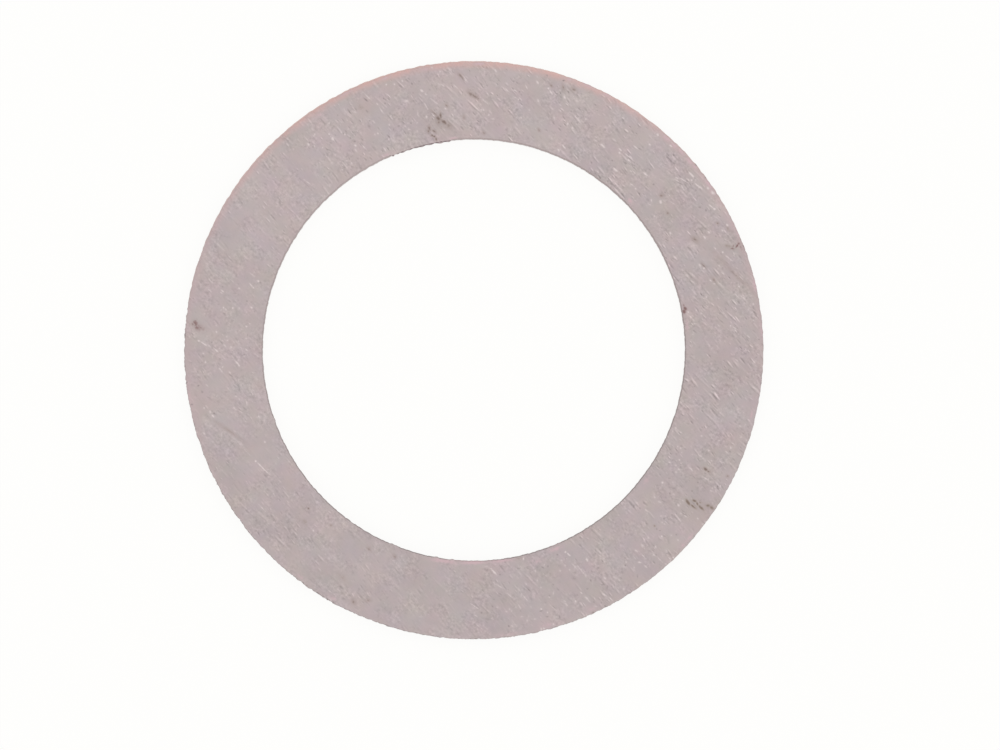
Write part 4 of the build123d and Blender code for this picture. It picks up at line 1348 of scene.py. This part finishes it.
@dataclass
class ShimRing:
    """The ring, punched from strip: its sizes, how it is modelled and how it is finished.

    Its sizes are in metres, and its angles in degrees. The pits' margin and least sizes are in
    millimetres, as the pits are, and a share is one of the size that it is named after.
    """

    box_radius: float
    bore: float
    thickness: float
    roll_width: float = 0.14 * MM
    roll_depth: float = 0.07 * MM
    land_depth: float = 0.20 * MM
    break_lean: float = 0.03 * MM
    worn_corner: float = 0.015 * MM
    spokes: int = 540
    upper_loops: int = 24
    lower_loops: int = 4
    roll_loops: int = 5
    land_loops: int = 2
    break_loops: int = 5
    corner_loops: int = 2
    ragged: float = 0.012 * MM
    fine_share: float = 0.3
    tear: float = 0.003 * MM
    nick: float = 0.022 * MM
    nick_share: float = 0.4
    nicked: tuple[float, float] = (172.0, 302.0)
    pit_margin: float = 0.3
    pit_cuts: int = 3
    spine_share: tuple[float, float] = (0.70, 0.45)
    least_spine: float = 0.04
    slope_share: float = 0.60
    least_slope: float = 0.05
    burr_grip: float = 0.05 * MM
    stretches: int = 12
    overlap: float = 10.0
    smooth_below: float = 40.0
    piece: bpy.types.Object | None = None

    @property
    def rim(self) -> float:
        """The rim's mean radius, which leaves its ragged edge inside the box."""
        return self.box_radius - self.ragged

    def edge(self, radius: float, out: int, zone: Zone, face: Zone) -> list[Loop]:
        """The loops of one cut edge, from its die roll down to its worn corner.

        It is worked out for a die roll that lies above, at heights below the upper face.

        Args:
            radius: The radius of the land.
            out: 1 for the rim and -1 for the bore, the side on which there is no steel.
            zone: The zone of the cut.
            face: The zone of the face that the roll belongs to.

        Returns:
            The loops, with the first at the end of the flat face.
        """
        loops = []
        for step in range(self.roll_loops + 1):
            turn = math.radians(90 * step / self.roll_loops)
            across = radius - out * self.roll_width * (1 - math.sin(turn))
            down = self.roll_depth * (1 - math.cos(turn))
            loops.append(Loop(across, self.thickness - down, face))
        roll_foot = self.thickness - self.roll_depth
        for step in range(1, self.land_loops + 1):
            down = self.land_depth * step / self.land_loops
            loops.append(Loop(radius, roll_foot - down, zone))
        break_top = roll_foot - self.land_depth
        for step in range(1, self.break_loops + 1):
            share = step / self.break_loops
            down = (break_top - self.worn_corner) * share
            loops.append(Loop(radius - out * self.break_lean * share, break_top - down, zone))
        foot = radius - out * self.break_lean
        for step in range(1, self.corner_loops + 1):
            turn = math.radians(90 * step / self.corner_loops)
            across = foot - out * self.worn_corner * (1 - math.cos(turn))
            loops.append(Loop(across, self.worn_corner * (1 - math.sin(turn)), zone))
        return loops

    def section(self) -> list[Loop]:
        """The whole section, once round it from the bore's side of the upper face."""
        rim = self.edge(self.rim, 1, Zone.RIM_EDGE, Zone.UPPER_FACE)
        cut = self.edge(self.bore, -1, Zone.BORE_EDGE, Zone.LOWER_FACE)
        bore = [Loop(loop.radius, self.thickness - loop.height, loop.zone) for loop in cut]
        upper = self.flat(bore[-1], rim[0], Zone.UPPER_FACE, self.upper_loops)
        lower = self.flat(rim[-1], bore[0], Zone.LOWER_FACE, self.lower_loops)
        return [bore[-1], *upper, *rim[1:], *lower, *bore[1:-1]]

    def flat(self, first: Loop, last: Loop, zone: Zone, count: int) -> list[Loop]:
        """The loops that cross a flat face after its first, up to and with its last."""
        spread = last.radius - first.radius
        return [
            Loop(first.radius + spread * step / count, last.height, zone)
            for step in range(1, count + 1)
        ]

    def model(self) -> None:
        """Draws the ring out of its first loop, loop by loop, and closes it.

        The first loop is made a little ragged, so that both cut edges carry the upright marks
        that nicks in the tools leave.
        """
        first, *others = self.section()
        bpy.ops.object.select_all(action="DESELECT")
        bpy.ops.mesh.primitive_circle_add(vertices=self.spokes, radius=first.radius)
        self.piece = bpy.context.object
        self.piece.name = "shim_ring_steel"
        bpy.ops.object.mode_set(mode="EDIT")
        bpy.ops.mesh.select_mode(type="EDGE")
        bpy.ops.mesh.select_all(action="SELECT")
        bpy.ops.transform.vertex_random(offset=self.ragged, normal=1.0, seed=5)
        bpy.ops.mesh.subdivide(number_cuts=1)
        bpy.ops.transform.vertex_random(offset=self.fine_share * self.ragged, normal=1.0, seed=6)
        bpy.ops.transform.translate(value=(0, 0, first.height))
        last = first
        for loop in others:
            bpy.ops.mesh.extrude_region_move()
            spread = loop.radius / last.radius
            bpy.ops.transform.resize(value=(spread, spread, 1), center_override=(0, 0, 0))
            bpy.ops.transform.translate(value=(0, 0, loop.height - last.height))
            last = loop
        bpy.ops.mesh.select_all(action="DESELECT")
        bpy.ops.mesh.select_non_manifold()
        bpy.ops.mesh.bridge_edge_loops()
        bpy.ops.mesh.select_all(action="SELECT")
        bpy.ops.mesh.normals_make_consistent(inside=False)
        bpy.ops.object.mode_set(mode="OBJECT")
        bpy.ops.object.transform_apply(location=True, rotation=True, scale=True)

    def zone_of(self, centre: Vector) -> Zone:
        """The zone that a face belongs to, by its place.

        Args:
            centre: The face's centre.

        Returns:
            Its zone.
        """
        out = math.hypot(centre.x, centre.y)
        roll = self.roll_depth
        if out > (self.rim + self.bore) / 2:
            if centre.z > self.thickness - roll:
                return Zone.UPPER_FACE
            on_edge = out > self.rim - self.break_lean - self.worn_corner
            return Zone.RIM_EDGE if on_edge else Zone.LOWER_FACE
        if centre.z < roll:
            return Zone.LOWER_FACE
        on_edge = out < self.bore + self.break_lean + self.worn_corner
        return Zone.BORE_EDGE if on_edge else Zone.UPPER_FACE

    def dress(self) -> None:
        """Gives each zone its finish.

        The upper face is finished in equal stretches round the axis, so that each one carries
        only the marks that reach it.
        """
        stretch = 360 / self.stretches
        finishes = [
            RolledFace("lower_face", seed=113.0, warm=False),
            ShearedEdge(
                "rim_edge",
                land_low=0.23,
                land_high=0.47,
                marked_heights=(0.30, 0.12),
                kinds=(RIM_BURR_STREAKS,),
            ),
            # The bore's edge carries a warm reflection painted at its foot and the dark streaks at its
            # burrs, and its break is painted paler towards one side.
            ShearedEdge(
                "bore_edge",
                land_low=0.03,
                land_high=0.27,
                marked_heights=(0.34, 0.44),
                kinds=(BORE_PAINTED_REFLECTION, BORE_BURR_STREAKS),
                shade=0.22,
            ),
        ]
        for step in range(self.stretches):
            marks = kinds_near(MARK_KINDS, stretch * (step + 0.5), 0.5 * stretch + self.overlap)
            finishes.append(RolledFace(f"upper_face_{step + 1}", marks))
        for finish in finishes:
            self.piece.data.materials.append(finish.material())
        for face in self.piece.data.polygons:
            zone = self.zone_of(face.center)
            face.material_index = zone.value
            if zone is Zone.UPPER_FACE:
                turn = math.degrees(math.atan2(face.center.y, face.center.x)) % 360
                face.material_index += int(turn / stretch)

    def hold(self, test: Callable[[Vector], bool]) -> int:
        """Selects the vertices that pass a test of their place, in edit mode.

        Args:
            test: The test.

        Returns:
            How many it selects.
        """
        shape = bmesh.from_edit_mesh(self.piece.data)
        held = 0
        for vertex in shape.verts:
            chosen = test(vertex.co)
            vertex.select_set(chosen)
            held += chosen
        shape.select_flush_mode()
        bmesh.update_edit_mesh(self.piece.data)
        return held

    def press_pits(self, pits: tuple[Mark, ...]) -> None:
        """Presses pits into the upper face by their spines, on patches of finer mesh.

        Args:
            pits: The pits.
        """
        face = self.thickness - 0.001 * MM
        bpy.ops.object.mode_set(mode="EDIT")
        bpy.ops.mesh.select_mode(type="VERT")
        bpy.ops.mesh.select_all(action="DESELECT")
        margin = self.pit_margin
        patches = [
            replace(pit, length=pit.length + margin, width=pit.width + margin) for pit in pits
        ]
        self.hold(lambda place: place.z > face and any(patch.holds(place) for patch in patches))
        bpy.ops.mesh.subdivide(number_cuts=self.pit_cuts)
        along, aside = self.spine_share
        for pit in pits:
            width = max(pit.width * aside, self.least_spine)
            spine = replace(pit, length=pit.length * along, width=width)
            slope = max(pit.width * self.slope_share, self.least_slope)
            held = self.hold(lambda place: place.z > face and spine.holds(place))
            if held:
                bpy.ops.transform.translate(
                    value=(0, 0, -pit.depth * MM),
                    use_proportional_edit=True,
                    proportional_edit_falloff="SMOOTH",
                    proportional_size=slope * MM,
                )
        bpy.ops.object.mode_set(mode="OBJECT")

    def raise_burr(self, burr: Burr, corner: Vector, out: int) -> None:
        """Pulls a burr off a corner, to the side on which there is no steel.

        Args:
            burr: The burr.
            corner: Where it stands.
            out: 1 for the rim and -1 for the bore.
        """
        if self.hold(lambda place: (place - corner).length < self.burr_grip):
            bpy.ops.transform.translate(
                value=burr.outward() * out * (burr.proud * MM + self.break_lean),
                use_proportional_edit=True,
                proportional_edit_falloff="SMOOTH",
                proportional_size=burr.reach * MM,
            )

    def tear_edges(self) -> None:
        """Roughens both breaks, nicks the rim, raises the burrs and trims what stands out."""
        bpy.ops.object.mode_set(mode="EDIT")
        bpy.ops.mesh.select_mode(type="VERT")
        break_top = self.thickness - self.roll_depth - self.land_depth
        margin = 2 * self.ragged

        def torn(place: Vector) -> bool:
            """Tells whether a place is on a break."""
            out = math.hypot(place.x, place.y)
            on_rim = out > self.rim - self.break_lean - margin
            on_bore = out < self.bore + self.break_lean + margin
            low = margin < place.z < break_top - margin
            high = self.thickness - break_top + margin < place.z < self.thickness - margin
            return (on_rim and low) or (on_bore and high)

        self.hold(torn)
        bpy.ops.transform.vertex_random(offset=self.tear, seed=3)

        def nicked(place: Vector) -> bool:
            """Tells whether a place is on the nicked stretch of the rim."""
            on_rim = math.hypot(place.x, place.y) > self.rim - self.break_lean - margin
            beside_face = place.z < margin or place.z > self.thickness - self.roll_depth + margin
            turn = math.degrees(math.atan2(place.y, place.x)) % 360
            return on_rim and not beside_face and self.nicked[0] < turn < self.nicked[1]

        self.hold(nicked)
        bpy.ops.transform.shrink_fatten(value=-self.nick_share * self.nick)
        bpy.ops.transform.vertex_random(offset=self.nick, normal=1.0, seed=8)
        foot = self.rim - self.break_lean
        for burr in RIM_BURRS:
            corner = burr.outward() * foot + Vector((0, 0, self.worn_corner))
            self.raise_burr(burr, corner, 1)
        lip = self.bore + self.break_lean
        for burr in BORE_BURRS:
            corner = burr.outward() * lip + Vector((0, 0, self.thickness - self.worn_corner))
            self.raise_burr(burr, corner, -1)
        trim = 0.998
        if self.hold(lambda place: max(abs(place.x), abs(place.y)) > self.box_radius):
            bpy.ops.transform.resize(value=(trim, trim, 1), center_override=(0, 0, 0))
        bpy.ops.object.mode_set(mode="OBJECT")

    def finish(self) -> None:
        """Smooths the ring and rides it on its body, in place of the plain solid."""
        bpy.ops.object.select_all(action="DESELECT")
        self.piece.select_set(True)
        bpy.context.view_layer.objects.active = self.piece
        bpy.ops.object.shade_smooth_by_angle(angle=math.radians(self.smooth_below))
        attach(self.piece, "root")
        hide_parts("shim_ring")
        triangles = sum(len(face.vertices) - 2 for face in self.piece.data.polygons)
        log.info("%s: %d triangles", self.piece.name, triangles)


# ---- The studio ---------------------------------------------------------------------------


@dataclass
class Studio:
    """A pale floor, soft light and a camera that looks down on the ring."""

    top: float
    elevation: float = 87.0
    lens: float = 180.0
    sensor: float = 36.0
    view_width: float = 42.83 * MM
    aside: tuple[float, float] = (1.123 * MM, -1.1075 * MM)
    near: float = 0.005
    far: float = 2.0
    floor_size: float = 1.2
    floor_drop: float = 0.001 * MM
    glow: float = 0.92
    backdrop: Colour = (1.0, 0.997, 0.985, 1.0)
    paper: Colour = (0.9, 0.897, 0.886, 1.0)
    lamp_place: tuple[float, float, float] = (0.06, 0.12, 0.18)
    lamp_size: float = 0.14
    lamp_power: float = 0.012
    bright_side: tuple[float, float, float] = (0.05, -0.95, 0.35)
    room_light: tuple[float, float] = (0.92, 1.10)

    def camera(self) -> None:
        """Hangs the camera over the ring, a little to one side of its middle."""
        data = bpy.data.cameras.new("camera")
        data.lens = self.lens
        data.sensor_width = self.sensor
        data.clip_start = self.near
        data.clip_end = self.far
        camera = bpy.data.objects.new("camera", data)
        bpy.context.scene.collection.objects.link(camera)
        distance = self.view_width * self.lens / self.sensor
        tilt = math.radians(self.elevation)
        back = Vector((0, -math.cos(tilt), math.sin(tilt)))
        target = Vector((*self.aside, self.top))
        camera.location = target + back * distance
        camera.rotation_mode = "QUATERNION"
        camera.rotation_quaternion = (-back).to_track_quat("-Z", "Y")
        bpy.context.scene.camera = camera

    def floor(self) -> None:
        """Lays the floor just under the ring: pale from above, and clear from below."""
        bpy.ops.object.select_all(action="DESELECT")
        place = (0, 0, -self.floor_drop)
        bpy.ops.mesh.primitive_plane_add(size=self.floor_size, location=place)
        floor = bpy.context.object
        floor.name = "floor"
        bpy.ops.object.transform_apply(location=True, rotation=True, scale=True)
        material, bench = new_material("floor_sheet")
        paths = bench.add("LightPath")
        seen = bench.math("MAXIMUM", paths.outputs["Is Camera Ray"], paths.outputs["Is Glossy Ray"])
        seen = bench.math("MAXIMUM", seen, paths.outputs["Is Transmission Ray"])
        paper = bench.add("BsdfDiffuse")
        bench.feed(paper, {"Color": self.paper})
        glow = bench.add("Emission")
        bench.feed(glow, {"Color": self.backdrop, "Strength": 1.0})
        lit = bench.add("MixShader")
        share = bench.math("MULTIPLY", seen, self.glow)
        bench.feed(lit, {0: share, 1: paper.outputs[0], 2: glow.outputs[0]})
        clear = bench.add("BsdfTransparent")
        side = bench.add("NewGeometry")
        both = bench.add("MixShader")
        bench.feed(both, {0: side.outputs["Backfacing"], 1: lit.outputs[0], 2: clear.outputs[0]})
        output = bench.add("OutputMaterial")
        bench.feed(output, {"Surface": both.outputs[0]})
        floor.data.materials.append(material)

    def lamp(self) -> None:
        """Hangs one soft box that points at the ring."""
        data = bpy.data.lights.new("soft_box", "AREA")
        data.shape = "SQUARE"
        data.size = self.lamp_size
        data.energy = self.lamp_power
        lamp = bpy.data.objects.new("soft_box", data)
        bpy.context.scene.collection.objects.link(lamp)
        lamp.location = self.lamp_place
        lamp.rotation_mode = "QUATERNION"
        lamp.rotation_quaternion = (-Vector(self.lamp_place)).to_track_quat("-Z", "Y")
        lamp.visible_camera = False

    def room(self) -> None:
        """Sets the even light of the room, a little brighter on one side."""
        world = bpy.data.worlds.new("room")
        bpy.context.scene.world = world
        world.use_nodes = True
        world.node_tree.nodes.clear()
        bench = NodeBench(world.node_tree)
        paths = bench.add("LightPath")
        where = bench.add("TexCoord")
        towards = Vector(self.bright_side).normalized()
        lean = bench.vector("DOT_PRODUCT", where.outputs["Generated"], tuple(towards))
        strength = bench.ease(lean, -1.0, 1.0, *self.room_light)
        level = bench.add("Mix", data_type="FLOAT")
        bench.feed(level, {0: paths.outputs["Is Camera Ray"], 2: strength, 3: 1.0})
        sky = bench.add("Background")
        bench.feed(sky, {"Color": (1.0, 1.0, 1.0, 1.0), "Strength": level.outputs[0]})
        output = bench.add("OutputWorld")
        bench.feed(output, {"Surface": sky.outputs[0]})

    def view(self) -> None:
        """Keeps colours as they are written."""
        bpy.context.scene.view_settings.view_transform = "Standard"


def main() -> None:
    """Builds the ring and its studio."""
    logging.basicConfig(level=logging.INFO)
    low, high = cad_box
    mounts = {mount["name"]: mount for mount in frame["record"]["mounts"]}
    ring = ShimRing(
        box_radius=min(high.x, high.y, -low.x, -low.y),
        bore=mounts["bore"]["dims"]["r_mm"] * MM,
        thickness=high.z - low.z,
    )
    studio = Studio(top=high.z)
    studio.camera()
    studio.floor()
    studio.lamp()
    studio.room()
    studio.view()
    ring.model()
    ring.dress()
    ring.press_pits(PITS)
    ring.tear_edges()
    ring.finish()


if __name__ == "__main__":
    main()
